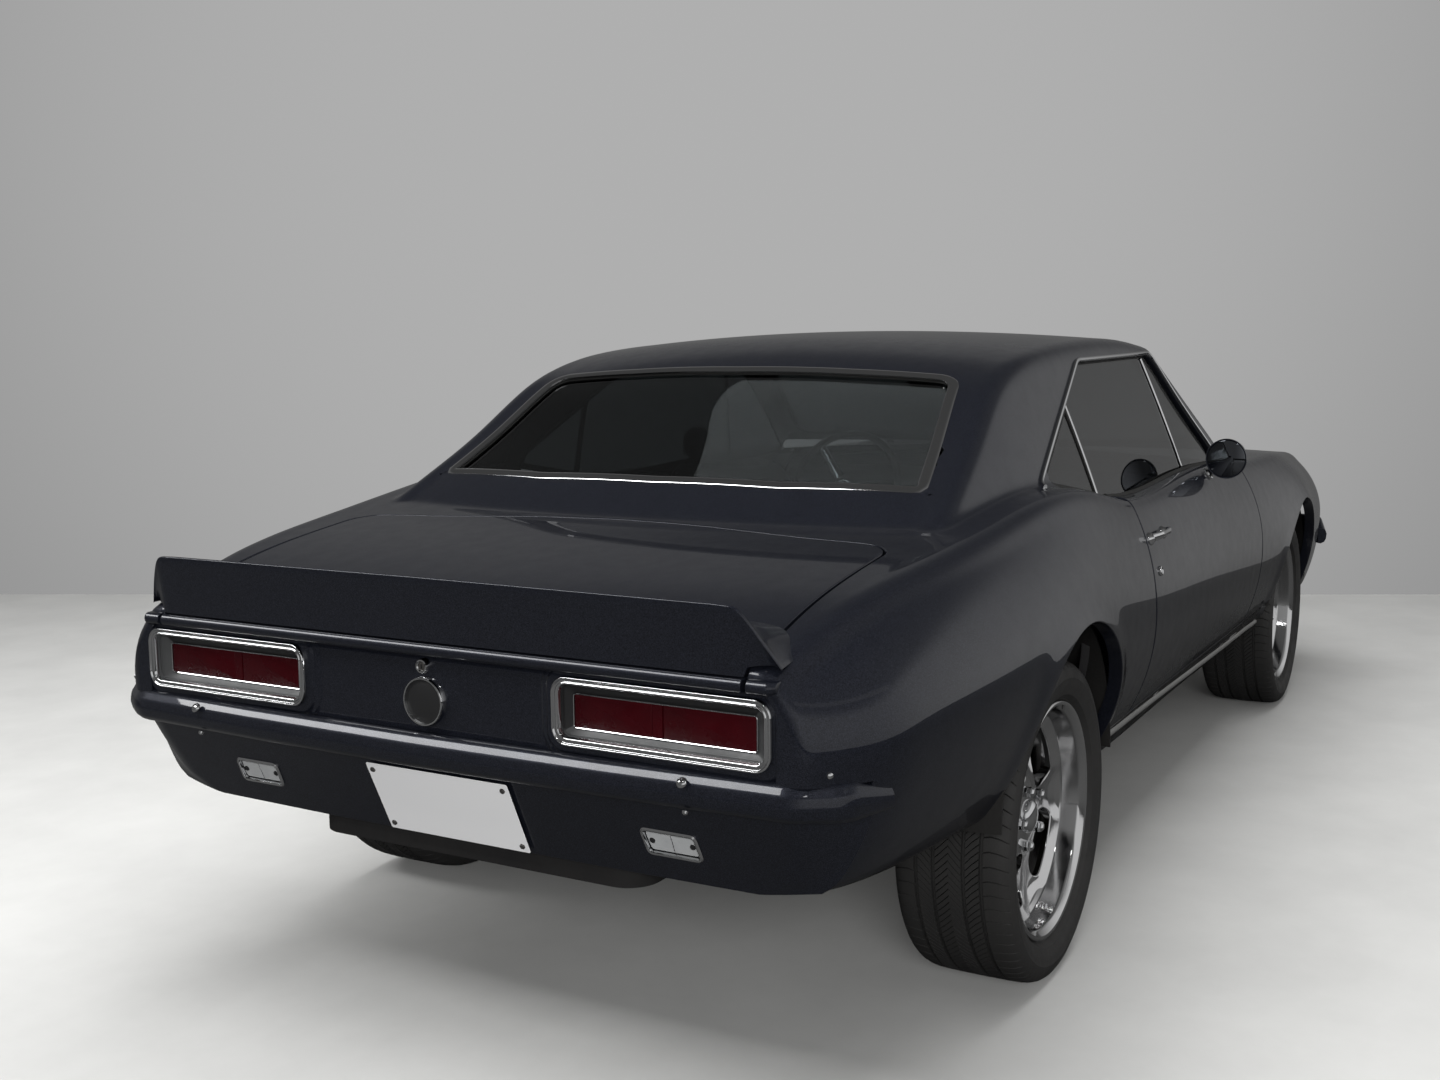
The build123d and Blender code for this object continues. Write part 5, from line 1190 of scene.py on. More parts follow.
def behind_nose(points):
    """How far points are behind the bowed face of the nose."""
    y = np.abs(points[..., 1])
    return NOSE_FACE_X - (NOSE_BOW_R - np.sqrt(NOSE_BOW_R ** 2 - y ** 2)) - points[..., 0]


def hood_edge(x):
    return np.interp(x, [0.826, 2.3], [0.706, 0.652])


fender_points, fender_out = grid_of(body_skin, 0.68, 2.34, 0, 1)
x, y, z = np.moveaxis(fender_points, -1, 0)
beside_hood = np.where(z > 0.7, y - np.where(x > 0.826, hood_edge(x) + 0.0085, 0.7165), FAR)
below_bumper = np.where(z < 0.51, 2.146 - x, FAR)
fender_inside = least(x - FENDER_REAR_X, below_bumper, behind_nose(fender_points) - 0.012,
                      arch_gap(fender_points), beside_hood, z - np.where(x < 1.2, 0.417, 0.30))
pressed(fender_points, fender_out, fender_inside, depth=0.034).both(
    "fender_skin_{}", "shell", "paint", paint, ("front_fender_{}",))

# Hood and cowl
# The hood is hinged at the cowl and has a raised panel along its middle. The cowl behind it carries
# the air slots and the wiper spindles.
HOOD_REAR_X = 0.8345
HOOD_FRONT_X = 2.180
hood_points, hood_out = (grid[::2] for grid in grid_of(body_skin, 0.81, 2.23, 0.45, 1, across=True))
x, y, z = np.moveaxis(hood_points, -1, 0)
raised = ramp(0.262 - np.abs(y), 0.03) * ramp(2.12 - x, 0.09)
hood_points = hood_points + hood_out * (0.009 * raised * raised * (3 - 2 * raised))[..., None]
x, y, z = np.moveaxis(hood_points, -1, 0)
hood_inside = least(x - HOOD_REAR_X, HOOD_FRONT_X - x, hood_edge(x) - EDGE_RADIUS - np.abs(y), z - 0.7)
pressed(hood_points, ways_of(hood_points), hood_inside, depth=0.024, back=lambda p, n: p - n * 0.022).done(
    "hood_skin", "hood", "paint", paint, ("hood",))
COWL_HALF = [(0.690, 0.33), (0.640, 0.56), (0.596, 0.70), (0.60, 0.714), (0.8235, 0.714)]
COWL_OUTLINE = np.array([(0.706, 0), *COWL_HALF, *[(x, -y) for x, y in COWL_HALF[::-1]]])
cowl_points, cowl_out = grid_of(body_skin, 0.58, 0.84, 0.45, 1, across=True)
x, y, z = np.moveaxis(cowl_points, -1, 0)
pressed(cowl_points, cowl_out, least(within(x, y, COWL_OUTLINE), z - 0.85)).done(
    "cowl_skin", "shell", "paint", paint, ("cowl_panel",))
slot_line = box_line(0.046, 0.013, 0.0064, steps=3)
slots = []
for middle in (0.36, -0.36):
    for k in range(11):
        y = (k - 5) * 0.030 + middle
        x = 0.772 - 0.09 * y * y
        slots.append(slab([(x + a, y + b, body_skin.at(x + a, y=y + b)[0][2] - 0.004) for a, b in slot_line],
                          (0, 0, 0.0048)))
made("cowl_slots", "shell", "black_plastic", slots, satin_black)
wipers = []
for s in (1, -1):
    arm, blade = [], []
    for t in np.linspace(0, 1, 12):
        x, y = 0.752 - 0.115 * t, s * 0.30 + 0.10 + 0.30 * t
        arm.append((x, y, shell_skin.at(x, y=y)[0][2] + 0.014 - 0.004 * t))
    tip_x, tip_y = arm[-1][:2]
    for t in np.linspace(-1, 1, 15):
        y = tip_y + 0.19 * t
        x = tip_x + 0.004 - 0.055 * (y ** 2 - tip_y ** 2)
        blade.append((x, y, shell_skin.at(x, y=y)[0][2] + 0.008))
    wipers += [swept(arm, [(-4, -2), (-4, 1), (0, 2.8), (4, 1), (4, -2)], (-0.3, 0, 1), loop=False),
               fitting([(-20, 0), (-20, 13), (2, 13), (7, 9), (7, 0)], 24, (0, 0, 1), arm[0]),
               (*swept(blade, [(-3, -9), (-4, 1), (0, 3), (4, 1), (3, -9)], (-0.3, 0, 1), loop=False), 1)]
made("wipers", "shell", "black_plastic", wipers, satin_black, black_rubber)

# Header panel
# The panel across the nose above the grille, its front edge folded down over the opening.
header_points, header_out = grid_of(body_skin, 2.17, 2.34, 0.45, 1, across=True)
x, y, z = np.moveaxis(header_points, -1, 0)
header_inside = least(x - 2.1895, behind_nose(header_points) - 0.012, z - 0.7,
                      hood_edge(x) + 0.007 - np.abs(y))
pressed(header_points, header_out, header_inside, depth=0.036, radius=0.006).done(
    "header_skin", "shell", "paint", paint, ("header_panel",))

# Seats
# Two low-backed bucket seats and a bench behind, foam on sprung frames under grained black vinyl,
# with sewn channels in the middle and a piped border. Each sits on a steel base on the floor.
vinyl = finish("black_vinyl", (0.016, 0.016, 0.017), (0.027, 0.026, 0.026), (0.36, 0.5), 620.0, relief=0.45)
CLOTH_STEPS = 20


def settled(piece):
    """Gives a piece the mesh that its modifiers make, in their place."""
    bpy.context.view_layer.update()
    mesh = bpy.data.meshes.new_from_object(piece.evaluated_get(bpy.context.evaluated_depsgraph_get()))
    piece.modifiers.clear()
    piece.data = mesh
    return mesh


def stuffed(name, part, seams, voxel, cap, replaces):
    """A padded piece: its form is swollen like stuffing under a skin, then sewn down along seams."""
    piece = made(name, "shell", "vinyl", [part], vinyl, replaces=replaces)
    remesh = piece.modifiers.new("remesh", "REMESH")
    remesh.mode, remesh.voxel_size, remesh.use_smooth_shade = "VOXEL", voxel, True
    mesh = settled(piece)
    start = np.array([v.co for v in mesh.vertices])
    cloth = piece.modifiers.new("swell", "CLOTH")
    cloth.settings.use_pressure = True
    cloth.settings.uniform_pressure_force = 4.0
    cloth.settings.effector_weights.gravity = 0.0
    cloth.point_cache.frame_start, cloth.point_cache.frame_end = 1, CLOTH_STEPS
    for step in range(1, CLOTH_STEPS + 1):
        bpy.context.scene.frame_set(step)
    swollen = piece.evaluated_get(bpy.context.evaluated_depsgraph_get()).data
    shift = np.array([v.co for v in swollen.vertices]) - start
    length = np.linalg.norm(shift, axis=1, keepdims=True)
    start = start + shift * np.minimum(1, cap / np.maximum(length, 1e-9))
    piece.modifiers.clear()
    mesh.vertices.foreach_set("co", start.ravel())
    bpy.context.scene.frame_set(1)
    finer = piece.modifiers.new("finer", "SUBSURF")
    finer.levels = finer.render_levels = 1
    smooth = settled(piece)
    points = np.array([v.co for v in smooth.vertices])
    normals = np.array([v.normal for v in smooth.vertices])
    smooth.vertices.foreach_set("co", (points - normals * seams(points)[:, None]).ravel())
    smooth.shade_smooth()
    smooth.update()


def sewn(places, centres, depth=0.007, width=0.006):
    """How deep rows of stitches pull the skin in, at distances from each row."""
    return sum(depth * np.exp(-((places - c) / width) ** 2) for c in centres)


def seat_form(side_line, y0, y1, radius=0.045):
    """A pad lofted across the car from its side profile, with its edges drawn in."""
    middle = np.mean(side_line, 0)
    rings = []
    for t in (0, 0.25, 0.6, 1):
        shrink = 1 - 0.30 * (1 - t) ** 2 if t < 1 else 1
        rings.append([(*(middle + (p - middle) * shrink), y0 + radius * t) for p in side_line])
    rings += [[(x, z, y0 + y1 - y) for x, z, y in ring] for ring in rings[::-1]]
    return tube([[(x, y, z) for x, z, y in ring] for ring in rings])


CUSHION = rounded_mm([(-285, 440), (50, 448), (96, 480), (88, 536), (-10, 545), (-255, 508)],
                     [30, 30, 40, 40, 200, 30], steps=4)
BACKREST = rounded_mm([(-300, 530), (-262, 545), (-330, 800), (-402, 968), (-455, 985), (-480, 950),
                       (-440, 800), (-410, 540)], [20, 20, 300, 30, 30, 30, 200, 30], steps=4)
SEAT_MIDDLE = 0.405


def seat_seams(across, sewn_side, channelled, border, pitch):
    """How deep the two border seams, and the channels between them, pull the skin in."""
    between = channelled & (np.abs(across) < border - 0.005)
    channels = np.where(between, sewn(across, np.arange(-3, 4) * pitch, 0.005), 0)
    return np.where(sewn_side, sewn(across, (-border, border), 0.009) + channels, 0)


for hand, middle in (("left", SEAT_MIDDLE), ("right", -SEAT_MIDDLE)):
    stuffed(f"seat_cushion_{hand}", seat_form(CUSHION, middle - 0.222, middle + 0.222),
            lambda p: seat_seams(p[:, 1] - middle, p[:, 2] > 0.50, True, 0.155, 0.038),
            0.01875, 0.02, ("front_seats",))
    stuffed(f"seat_back_{hand}", seat_form(BACKREST, middle - 0.216, middle + 0.216),
            lambda p: seat_seams(p[:, 1] - middle, p[:, 0] > -0.42 + (0.97 - p[:, 2]) * 0.3, p[:, 2] < 0.93,
                                 0.15, 0.037),
            0.01875, 0.02, ("front_seats",))
    base = [block((-0.36, middle - 0.19, 0.385), (0.05, middle + 0.19, 0.452))]
    for y in (middle - 0.17, middle + 0.17):
        rail = [(-0.40, 0.346), (0.06, 0.352), (0.06, 0.375), (-0.40, 0.370)]
        base.append(slab([(x, y - 0.014, z) for x, z in rail], (0, 0.028, 0)))
        base += [block((x - 0.02, y - 0.008, 0.37), (x + 0.02, y + 0.008, 0.39)) for x in (-0.33, 0.02)]
    shield = rounded_mm([(-395, 470), (-300, 455), (-275, 520), (-330, 560), (-410, 540)], 20)
    base += [slab([(x, y - 0.012, z) for x, z in shield], (0, 0.024, 0))
             for y in (middle - 0.228, middle + 0.228)]
    made(f"seat_base_{hand}", "shell", "vinyl", base, satin_black, replaces=("front_seats",), bevel=0.003)
BENCH = rounded_mm([(-960, 528), (-650, 500), (-583, 500), (-580, 556), (-650, 588), (-930, 575)],
                   [20, 20, 30, 35, 100, 30], steps=4)
BENCH_BACK = rounded_mm([(-1085, 600), (-985, 585), (-960, 640), (-1075, 905), (-1135, 908), (-1135, 860)],
                        [20, 20, 50, 25, 20, 100], steps=4)


def bench_seams(p, sewn_side):
    """How deep the bench's borders and channels pull the skin in."""
    across = np.abs(p[:, 1])
    channels = sewn(across, 0.10 + 0.05 * np.arange(8), 0.005)
    return np.where(sewn_side, channels + sewn(across, (0.05, 0.505), 0.009), 0)


stuffed("rear_cushion", seat_form(BENCH, -0.562, 0.562), lambda p: bench_seams(p, p[:, 2] > 0.555),
        0.02175, 0.016, ("rear_seat",))
stuffed("rear_backrest", seat_form(BENCH_BACK, -0.562, 0.562),
        lambda p: bench_seams(p, p[:, 0] > -1.04 + (0.9 - p[:, 2]) * 0.4), 0.02175, 0.016, ("rear_seat",))

# Dashboard
# A padded, vinyl-covered dashboard with two deep round gauges before the driver, a bright strip, a
# glove-box lid, heater controls and vents. The steering column runs out under it.
dash_line = rounded_mm([(545, 706), (512, 735), (504, 800), (494, 812), (496, 846), (520, 866), (600, 884),
                        (735, 870), (735, 706)], [10, 20, 10, 12, 20, 30, 100, 10, 10], steps=4)
dash_rings = [[(x + 0.012 * (abs(y) / 0.7) ** 6, y, z) for x, z in dash_line]
              for y in np.linspace(-0.697, 0.697, 41)]
made("dash_pad", "shell", "vinyl", [tube(dash_rings)], vinyl, replaces=("dashboard",))
gauge_white = finish("gauge_white", (0.8, 0.8, 0.78), (0.7, 0.7, 0.68), (0.3, 0.4), 300.0, relief=0.02)
GAUGE_WAY = (-1, 0, 0.1)


def dial_places(line, angle):
    """Places along and beside a spoke at an angle, as places across and up."""
    across, up = math.cos(angle), math.sin(angle)
    return [(r * across - o * up, r * up + o * across) for r, o in line]


def dial_part(line, angle, lift, at):
    """A thin flat mark on a gauge."""
    outline = [(-lift, u, v) for u, v in dial_places(line, math.radians(angle))]
    return (*moved(slab(outline, (0.0012, 0, 0)), at), 2)


dash_parts = []
for y in (0.285, 0.455):
    at = (0.503, y, 0.776)
    dash_parts += [fitting([(-4, 55), (-4, 68), (12, 67), (16, 64), (16, 61), (4, 56)], 64, GAUGE_WAY, at),
                   fitting([(-2, 0), (-2, 57), (1, 57), (1, 0)], 64, GAUGE_WAY, at, 1),
                   fitting([(3, 0), (3, 8), (6, 6), (6, 0)], 24, GAUGE_WAY, at, 1)]
    for k in range(21):
        inner = 0.044 if k % 2 else 0.040
        mark = [(inner, -0.0009), (0.052, -0.0009), (0.052, 0.0009), (inner, 0.0009)]
        dash_parts.append(dial_part(mark, -225 + 13.5 * k, 0.0028, at))
    needle = [(-0.010, -0.0014), (0.043, -0.0006), (0.043, 0.0006), (-0.010, 0.0014)]
    dash_parts.append(dial_part(needle, 215, 0.0048, at))
bright_strip = [(0.5035, 0.801), (0.498, 0.802), (0.498, 0.810), (0.5035, 0.811)]
dash_parts.append(slab([(x, -0.66, z) for x, z in bright_strip], (0, 1.32, 0)))
for y in (-0.60, 0.60, -0.08, 0.08):
    for z in 0.828 + 0.006 * np.arange(-2, 3):
        blade = [(0.502, -0.001), (0.495, -0.002), (0.495, 0.0), (0.502, 0.001)]
        dash_parts.append((*slab([(x, y - 0.045, z + rise) for x, rise in blade], (0, 0.09, 0)), 1))
dash_parts += [fitting([(-2, 0), (-2, 10), (12, 9.5), (15, 7), (15, 0)], 24, REARWARD, (0.508, y, 0.752))
               for y in (-0.04, 0.0, 0.04)]
glove = box_line(0.34, 0.062, 0.01)
dash_parts.append((*tube([[(x, -0.40 + y * k, 0.766 + z * k) for y, z in glove]
                          for x, k in ((0.512, 1.0), (0.5025, 1.0), (0.5005, 0.985))]), 1))
made("dash_fittings", "shell", "chrome", dash_parts, chrome, satin_black, gauge_white, replaces=("dashboard",))
COLUMN_WAY = (-math.cos(math.radians(22)), 0, math.sin(math.radians(22)))
WHEEL_AT = (0.300, 0.370, 0.830)
STALK_AT = np.array(WHEEL_AT) - np.array(COLUMN_WAY) * 0.07 + [0, 0.025, 0]
made("steering_column", "shell", "black_plastic",
     [fitting([(-420, 0), (-420, 24), (-100, 24), (-90, 30), (-55, 30), (-45, 24), (-43, 8.8), (2, 8.8),
               (2, 0)], 48, COLUMN_WAY, WHEEL_AT),
      fitting([(0, 0), (0, 4), (110, 3), (125, 7), (135, 6), (137, 0)], 16, (-0.2, 0.95, 0.15), STALK_AT)],
     satin_black, replaces=("dashboard",))

# Steering wheel
# A thin deep-dished wheel with a moulded grip, three drilled bright spokes and a horn pad.
RIM_R, GRIP_R, GRIP_WAVE = 0.188, 0.0118, 0.0004
rim_rings = []
for k in range(96):
    a = 2 * math.pi * k / 96
    turn = np.linspace(0, 2 * math.pi, 17)[:-1]
    r = RIM_R + (GRIP_R + GRIP_WAVE * (-1) ** k) * np.cos(turn)
    rim_rings.append(np.stack([r * math.cos(a), GRIP_R * np.sin(turn), r * math.sin(a)], 1))
wheel_parts = [(*tube(rim_rings, loop=True), 0)]
for angle in (-90, 30, 150):
    rings = []
    for r, half, h in ((0.035, 0.020, -0.004), (0.07, 0.016, -0.003), (0.12, 0.013, -0.001),
                       (0.165, 0.0135, 0.0), (0.184, 0.017, 0.001)):
        section = [(-half, 0), (-half * 0.6, 0.003), (half * 0.6, 0.003), (half, 0), (half * 0.6, -0.002),
                   (-half * 0.6, -0.002)]
        places = dial_places([(r, o) for o, lift in section], math.radians(angle))
        rings.append([(u, h + lift, v) for (u, v), (o, lift) in zip(places, section)])
    wheel_parts.append((*tube(rings), 1))
horn_pad = [(-10, 9.5), (-10, 40), (-2, 46), (4, 46), (10, 38), (13, 30), (13.5, 0), (6, 0), (6, 9.5)]
horn_ring = [(12.5, 18), (12.5, 28), (15, 27.5), (15.5, 24), (14.5, 18)]
wheel_parts += [(*turned(horn_pad, 64), 0), (*turned(horn_ring, 64), 1)]
made("steering_wheel_rim", "steering_wheel", "black_plastic",
     [moved(aimed(part, COLUMN_WAY), WHEEL_AT) for part in wheel_parts], satin_black, chrome,
     replaces=("steering_wheel",))

# Cabin trim
# Vinyl panels clip to the insides of the doors and beside the rear seat, and a carpet-covered shelf
# closes the trunk off under the rear window.
def inner_sheet(points, inside, shift, grooves):
    """A trim panel that follows the body's side, seen from the cabin."""
    inner = points + (grooves(points) - shift)[..., None] * [0, 1, 0]
    return lined(inner, ways_of(inner), inside, radius=0.004, depth=0.02, inward=(0, 1, 0))


def door_grooves(points):
    """Upright channels in the middle of the trim panel, and a seam above and below them."""
    x, z = points[..., 0], points[..., 2]
    middle = (z > 0.55) & (z < 0.80) & (np.abs(x) < 0.58)
    return np.where(middle, sewn((x + 10) % 0.055, (0.0275,), 0.003), 0) + sewn(z, (0.815, 0.54), 0.004)


x, y, z = np.moveaxis(quarter_points, -1, 0)
side_inside = least(x + 1.06, -0.712 - x, z - 0.47, 0.932 - z)
x, y, z = np.moveaxis(door_points, -1, 0)
door_trim_inside = least(x + 0.675, 0.66 - x, z - 0.445, 0.915 - z)
inner_sheet(door_points, door_trim_inside, 0.076, door_grooves).both("door_trim_{}", "door_{}", "vinyl", vinyl)
inner_sheet(quarter_points, side_inside, 0.092, lambda p: sewn(p[..., 2], (0.80,), 0.004)).both(
    "side_trim_{}", "shell", "vinyl", vinyl)
armrest = tube([[(x, 0.802 - 0.052 * w, 0.690 + z * (0.6 + 0.4 * w)) for z in (-0.03, 0.0, 0.022)]
                + [(x, 0.835, 0.715), (x, 0.835, 0.655)] for x, w in
                ((-0.36, 0.4), (-0.34, 0.8), (-0.30, 1.0), (-0.08, 1.0), (-0.03, 0.8), (0.0, 0.35))])
made_pair("armrest_{}", "door_{}", "vinyl", [armrest], vinyl, bevel=0.006)
INWARD_SIDE = (0, -1, 0)
crank = [fitting([(0, 0), (0, 20), (12, 17), (14, 0)], 32, INWARD_SIDE, (0.02, 0.826, 0.62)),
         tube([[(x, y, z + w) for y, w in ((0.806, -0.006), (0.811, -0.006), (0.811, 0.006), (0.806, 0.006))]
               for x, z in ((0.02, 0.62), (0.06, 0.60), (0.105, 0.59))]),
         fitting([(0, 0), (0, 8), (30, 11), (34, 8), (34, 0)], 24, INWARD_SIDE, (0.102, 0.811, 0.59)),
         block((0.28, 0.812, 0.752), (0.39, 0.818, 0.768))]
made_pair("window_crank_{}", "door_{}", "chrome", crank, chrome, bevel=0.001)
carpet_pile = finish("black_carpet", (0.012, 0.012, 0.012), (0.024, 0.023, 0.022), (0.85, 0.95), 900.0,
                     relief=1.0)
SHELF_Z = 0.956
SPEAKER_Y, SPEAKER_X, SPEAKER_R = 0.36, -1.335, 0.068
shelf_y, shelf_x = np.meshgrid(np.linspace(0.585, -0.585, 80), np.linspace(-1.475, -1.185, 24))
from_speaker = np.hypot((np.abs(shelf_y) - SPEAKER_Y) / 1.6, shelf_x - SPEAKER_X)
shelf_points = np.stack([shelf_x, shelf_y, SHELF_Z + 0.005 * ramp(SPEAKER_R - from_speaker, 0.01)], -1)
pressed(shelf_points, ways_of(shelf_points), np.ones(shelf_x.shape), radius=0.003, depth=0.010).done(
    "shelf_cover", "shell", "vinyl", carpet_pile)
made("interior_mirror", "shell", "black_plastic",
     [tube([[(x, y * k, 1.205 + z * k) for y, z in box_line(0.20, 0.052, 0.024)]
            for x, k in ((0.180, 0.96), (0.181, 1.0), (0.192, 0.97), (0.200, 0.8))]),
      (*tube([[(x, y, 1.205 + z) for y, z in box_line(0.188, 0.042, 0.02)] for x in (0.1795, 0.184)]), 1),
      tube([[(x, y, z + w) for y, w in ((-0.005, -0.005), (0.005, -0.005), (0.005, 0.005), (-0.005, 0.005))]
            for x, z in ((0.196, 1.215), (0.185, 1.255), (0.160, 1.290))])],
     satin_black, mirror_silver, bevel=0.001)

# Grille and headlamp covers
# An egg-crate moulding in a thin bright-edged frame spans the nose. Ribbed covers close over the
# headlamps at its ends.
GRILLE_Z, GRILLE_TALL, GRILLE_HALF = 0.694, 0.164, 0.772
BAR = [(2.184, -0.0019), (2.1955, -0.0017), (2.198, -0.0007), (2.198, 0.0007), (2.1955, 0.0017),
       (2.184, 0.0019)]
crate = [slab([(x, y + o, GRILLE_Z - 0.0735) for x, o in BAR], (0, 0, 0.147))
         for y in np.linspace(-0.483, 0.483, 25)]
crate += [slab([(x, -0.485, z + o) for x, o in BAR], (0, 0.97, 0))
          for z in np.linspace(GRILLE_Z - 0.0725, GRILLE_Z + 0.0725, 9)]
made("grille_crate", "shell", "black_plastic", crate, satin_black, replaces=("grille",))
grille_line = [(2.1785, y, z + GRILLE_Z)
               for y, z in box_line(2 * GRILLE_HALF - 0.008, GRILLE_TALL - 0.008, 0.01)]
made("grille_frame", "shell", "black_plastic",
     [swept(grille_line, [(-3.5, -1.5), (-3.5, 6), (0, 7.5), (4, 6), (4, -1.5)], FORWARD),
      (*swept(grille_line, [(-1, 6), (-1, 8.8), (1, 9.8), (3, 8.8), (3, 6)], FORWARD), 1)],
     satin_black, chrome, replaces=("grille",))
cover_parts = []
for middle in (0.629, -0.629):
    cover_parts.append(tube([[(x, middle + y, z + GRILLE_Z) for y, z in box_line(0.274 - d, 0.148 - d, 0.010)]
                             for x, d in ((2.186, 0), (2.1945, 0), (2.196, 0.003))]))
    for z0 in GRILLE_Z + np.linspace(-0.056, 0.056, 5):
        cover_parts.append(tube([[(x, middle + y, z + z0)
                                  for y, z in box_line(0.256 - d, 0.016 - d, (0.0158 - d) / 2)]
                                 for x, d in ((2.195, 0), (2.199, 0.0005), (2.2015, 0.003), (2.2027, 0.0075))]))
made("headlamp_covers_ribbed", "shell", "black_plastic", cover_parts, satin_black,
     replaces=("headlamp_covers",))

# Front bumper and valance
# A bar like the rear one follows the bowed nose. The valance under it carries the parking lamps and
# the air opening.
NOSE_TIP_X, NOSE_BOW = 2.3455, 0.1476
front_ys = np.linspace(0, 0.73, 12)
FRONT_PLAN = rounded([*zip(NOSE_TIP_X - NOSE_BOW * front_ys ** 2, front_ys), (2.250, 0.800), (2.203, 0.866),
                      (2.133, 0.8985)], [0] * 11 + [0.2, 0.12, 0.09, 0], closed=False, steps=7)
FRONT_PROFILE = rounded_mm([(-34, 600), (-20, 604), (-6, 594), (0, 566), (-2, 532), (-9, 509), (-22, 498),
                            (-34, 501)], [2, 6, 20, 6, 20, 8, 5, 2], steps=4)
made("front_bumper_bar", "shell", "paint", [tube(bar_rings(FRONT_PLAN * [1, -1], FRONT_PROFILE, 0.498))],
     paint, replaces=("front_bumper",), bevel=0.001)
BOLT_Y = 0.42
made("front_bumper_bolts", "shell", "chrome",
     [fitting(BOLT, 32, (1, s * 0.1, -0.05), (NOSE_TIP_X - NOSE_BOW * BOLT_Y ** 2 - 0.003, s * BOLT_Y, 0.551))
      for s in (1, -1)], chrome)
FRONT_SIDE_X = 2.148


def front_valance_x(y, z):
    """Where the valance's face is at a place across and a height."""
    return 2.272 - (NOSE_BOW_R - np.sqrt(NOSE_BOW_R ** 2 - y ** 2)) - 0.10 * (0.504 - z)


front_rows = []
for z in np.linspace(0.305, 0.504, 34):
    side_y = body_skin.point(FRONT_SIDE_X, body_skin.share(FRONT_SIDE_X, z=z))[1] - 0.001
    line = rounded([(FRONT_SIDE_X, side_y), (front_valance_x(0.80, z), 0.812)]
                   + [(front_valance_x(y, z), y) for y in (0.6, 0.45, 0.3, 0.15, 0)],
                   [0, 0.07, 1, 1, 1, 1, 0], closed=False, steps=8)
    front_rows.append(wrapped_row(line, z, 0.25, 30, 70) * [1, -1, 1])
front_points = np.array(front_rows)
PARK_Y, PARK_Z = 0.53, 0.425
PARK_LAMP = box_line(0.150, 0.052, 0.014)
AIR_OPENING = box_line(0.60, 0.090, 0.03)
x, y, z = np.moveaxis(front_points, -1, 0)
front_low = np.interp(np.abs(y), [0.4, 0.7, 0.85], [0.315, 0.322, 0.338])
front_inside = least(z - front_low, -within(np.abs(y) - PARK_Y, z - PARK_Z, PARK_LAMP) - 0.001,
                     -within(y, z - 0.395, AIR_OPENING) - 0.001)
pressed(front_points, ways_of(front_points), front_inside, depth=0.016).done(
    "front_valance_skin", "shell", "paint", paint, ("front_valance",))
amber_lens = finish("amber_lens", (0.75, 0.30, 0.05), (0.6, 0.2, 0.03), (0.1, 0.2), 700.0, patch=30.0,
                    relief=0.5, Coat_Weight=1.0)


def park_ring(wide, tall, behind):
    """The parking lamp's outline, narrowed and set back on the valance."""
    return np.array([(front_valance_x(PARK_Y + y * wide, PARK_Z + z * tall) - behind, PARK_Y + y * wide,
                      PARK_Z + z * tall) for y, z in PARK_LAMP])


made_pair("park_lamp_{}", "shell", "chrome",
          [swept(park_ring(1, 1, 0), [(-4, -4), (-4, 2), (-1, 4.2), (3, 2), (3, -4)], (0.985, 0.17, -0.1)),
           (*slab(park_ring(0.95, 0.88, 0.002), (-0.006, 0, 0)), 1)], chrome, amber_lens)
hook_path = ((2.10, 0.335), (2.18, 0.333), (2.22, 0.325), (2.225, 0.305))
made("tow_hooks", "shell", "chassis",
     [tube([[(x, y - 0.008, z), (x, y + 0.008, z), (x + 0.005, y + 0.008, z - 0.006),
             (x + 0.005, y - 0.008, z - 0.006)] for x, z in hook_path]) for y in (0.2, -0.2)],
     chassis_black, bevel=0.002)

# Wheels
# One-piece cast alloy, machined and polished: a deep barrel with a bright lip, five concave spokes
# that flare into it, and a hub held to the brake disc by five nuts.
CORNERS = (("front_left", AXLES[0], 1), ("front_right", AXLES[0], -1),
           ("rear_left", AXLES[1], 1), ("rear_right", AXLES[1], -1))
WHEEL_Y, WHEEL_Z = 0.749, 0.334
STUD_CIRCLE = 0.0603
polished = finish("polished_alloy", (0.78, 0.78, 0.78), (0.7, 0.7, 0.71), (0.06, 0.15), 220.0, relief=0.03,
                  Metallic=1.0)
spoke_r, spoke_turn = np.meshgrid(np.linspace(0.024, 0.218, 27), np.linspace(0, 2 * math.pi, 191),
                                  indexing="ij")
from_spoke = spoke_r * np.abs((spoke_turn * 2.5 / math.pi + 0.5) % 1 - 0.5) * 0.4 * math.pi
spoke_half = through([0.05, 0.09, 0.13, 0.17, 0.205],
                     [0.034, 0.027, 0.0225, 0.028, 0.046])(np.minimum(spoke_r, 0.205))
scoop = 0.004 * np.clip(from_spoke / spoke_half, 0, 1.3) ** 2 * ramp(spoke_r - 0.075, 0.03)
spoke_h = scoop + through([0.02, 0.055, 0.08, 0.11, 0.15, 0.19, 0.22],
                          [0.050, 0.050, 0.045, 0.033, 0.027, 0.031, 0.048])(spoke_r)
spoke_inside = 0.006 * np.log(np.exp((spoke_half - from_spoke) / 0.006) + np.exp((0.076 - spoke_r) / 0.006)
                              + np.exp((spoke_r - 0.198) / 0.006))
spoke_points = np.stack([spoke_r * np.cos(spoke_turn), spoke_h, spoke_r * np.sin(spoke_turn)], -1)
spoke_out = unit(np.cross(np.gradient(spoke_points, axis=1), np.gradient(spoke_points, axis=0)))
spoke_out[:, 0] = spoke_out[:, -1] = unit(spoke_out[:, 0] + spoke_out[:, -1])
wheel_face = pressed(spoke_points, spoke_out, spoke_inside, radius=0.0035, depth=0.026, inward=(0, -1, 0),
                     plain=lambda p: (np.abs(p[:, 2]) < 1e-6) & (p[:, 0] > 0),
                     back=lambda p, n: p - [0, 0.024, 0])
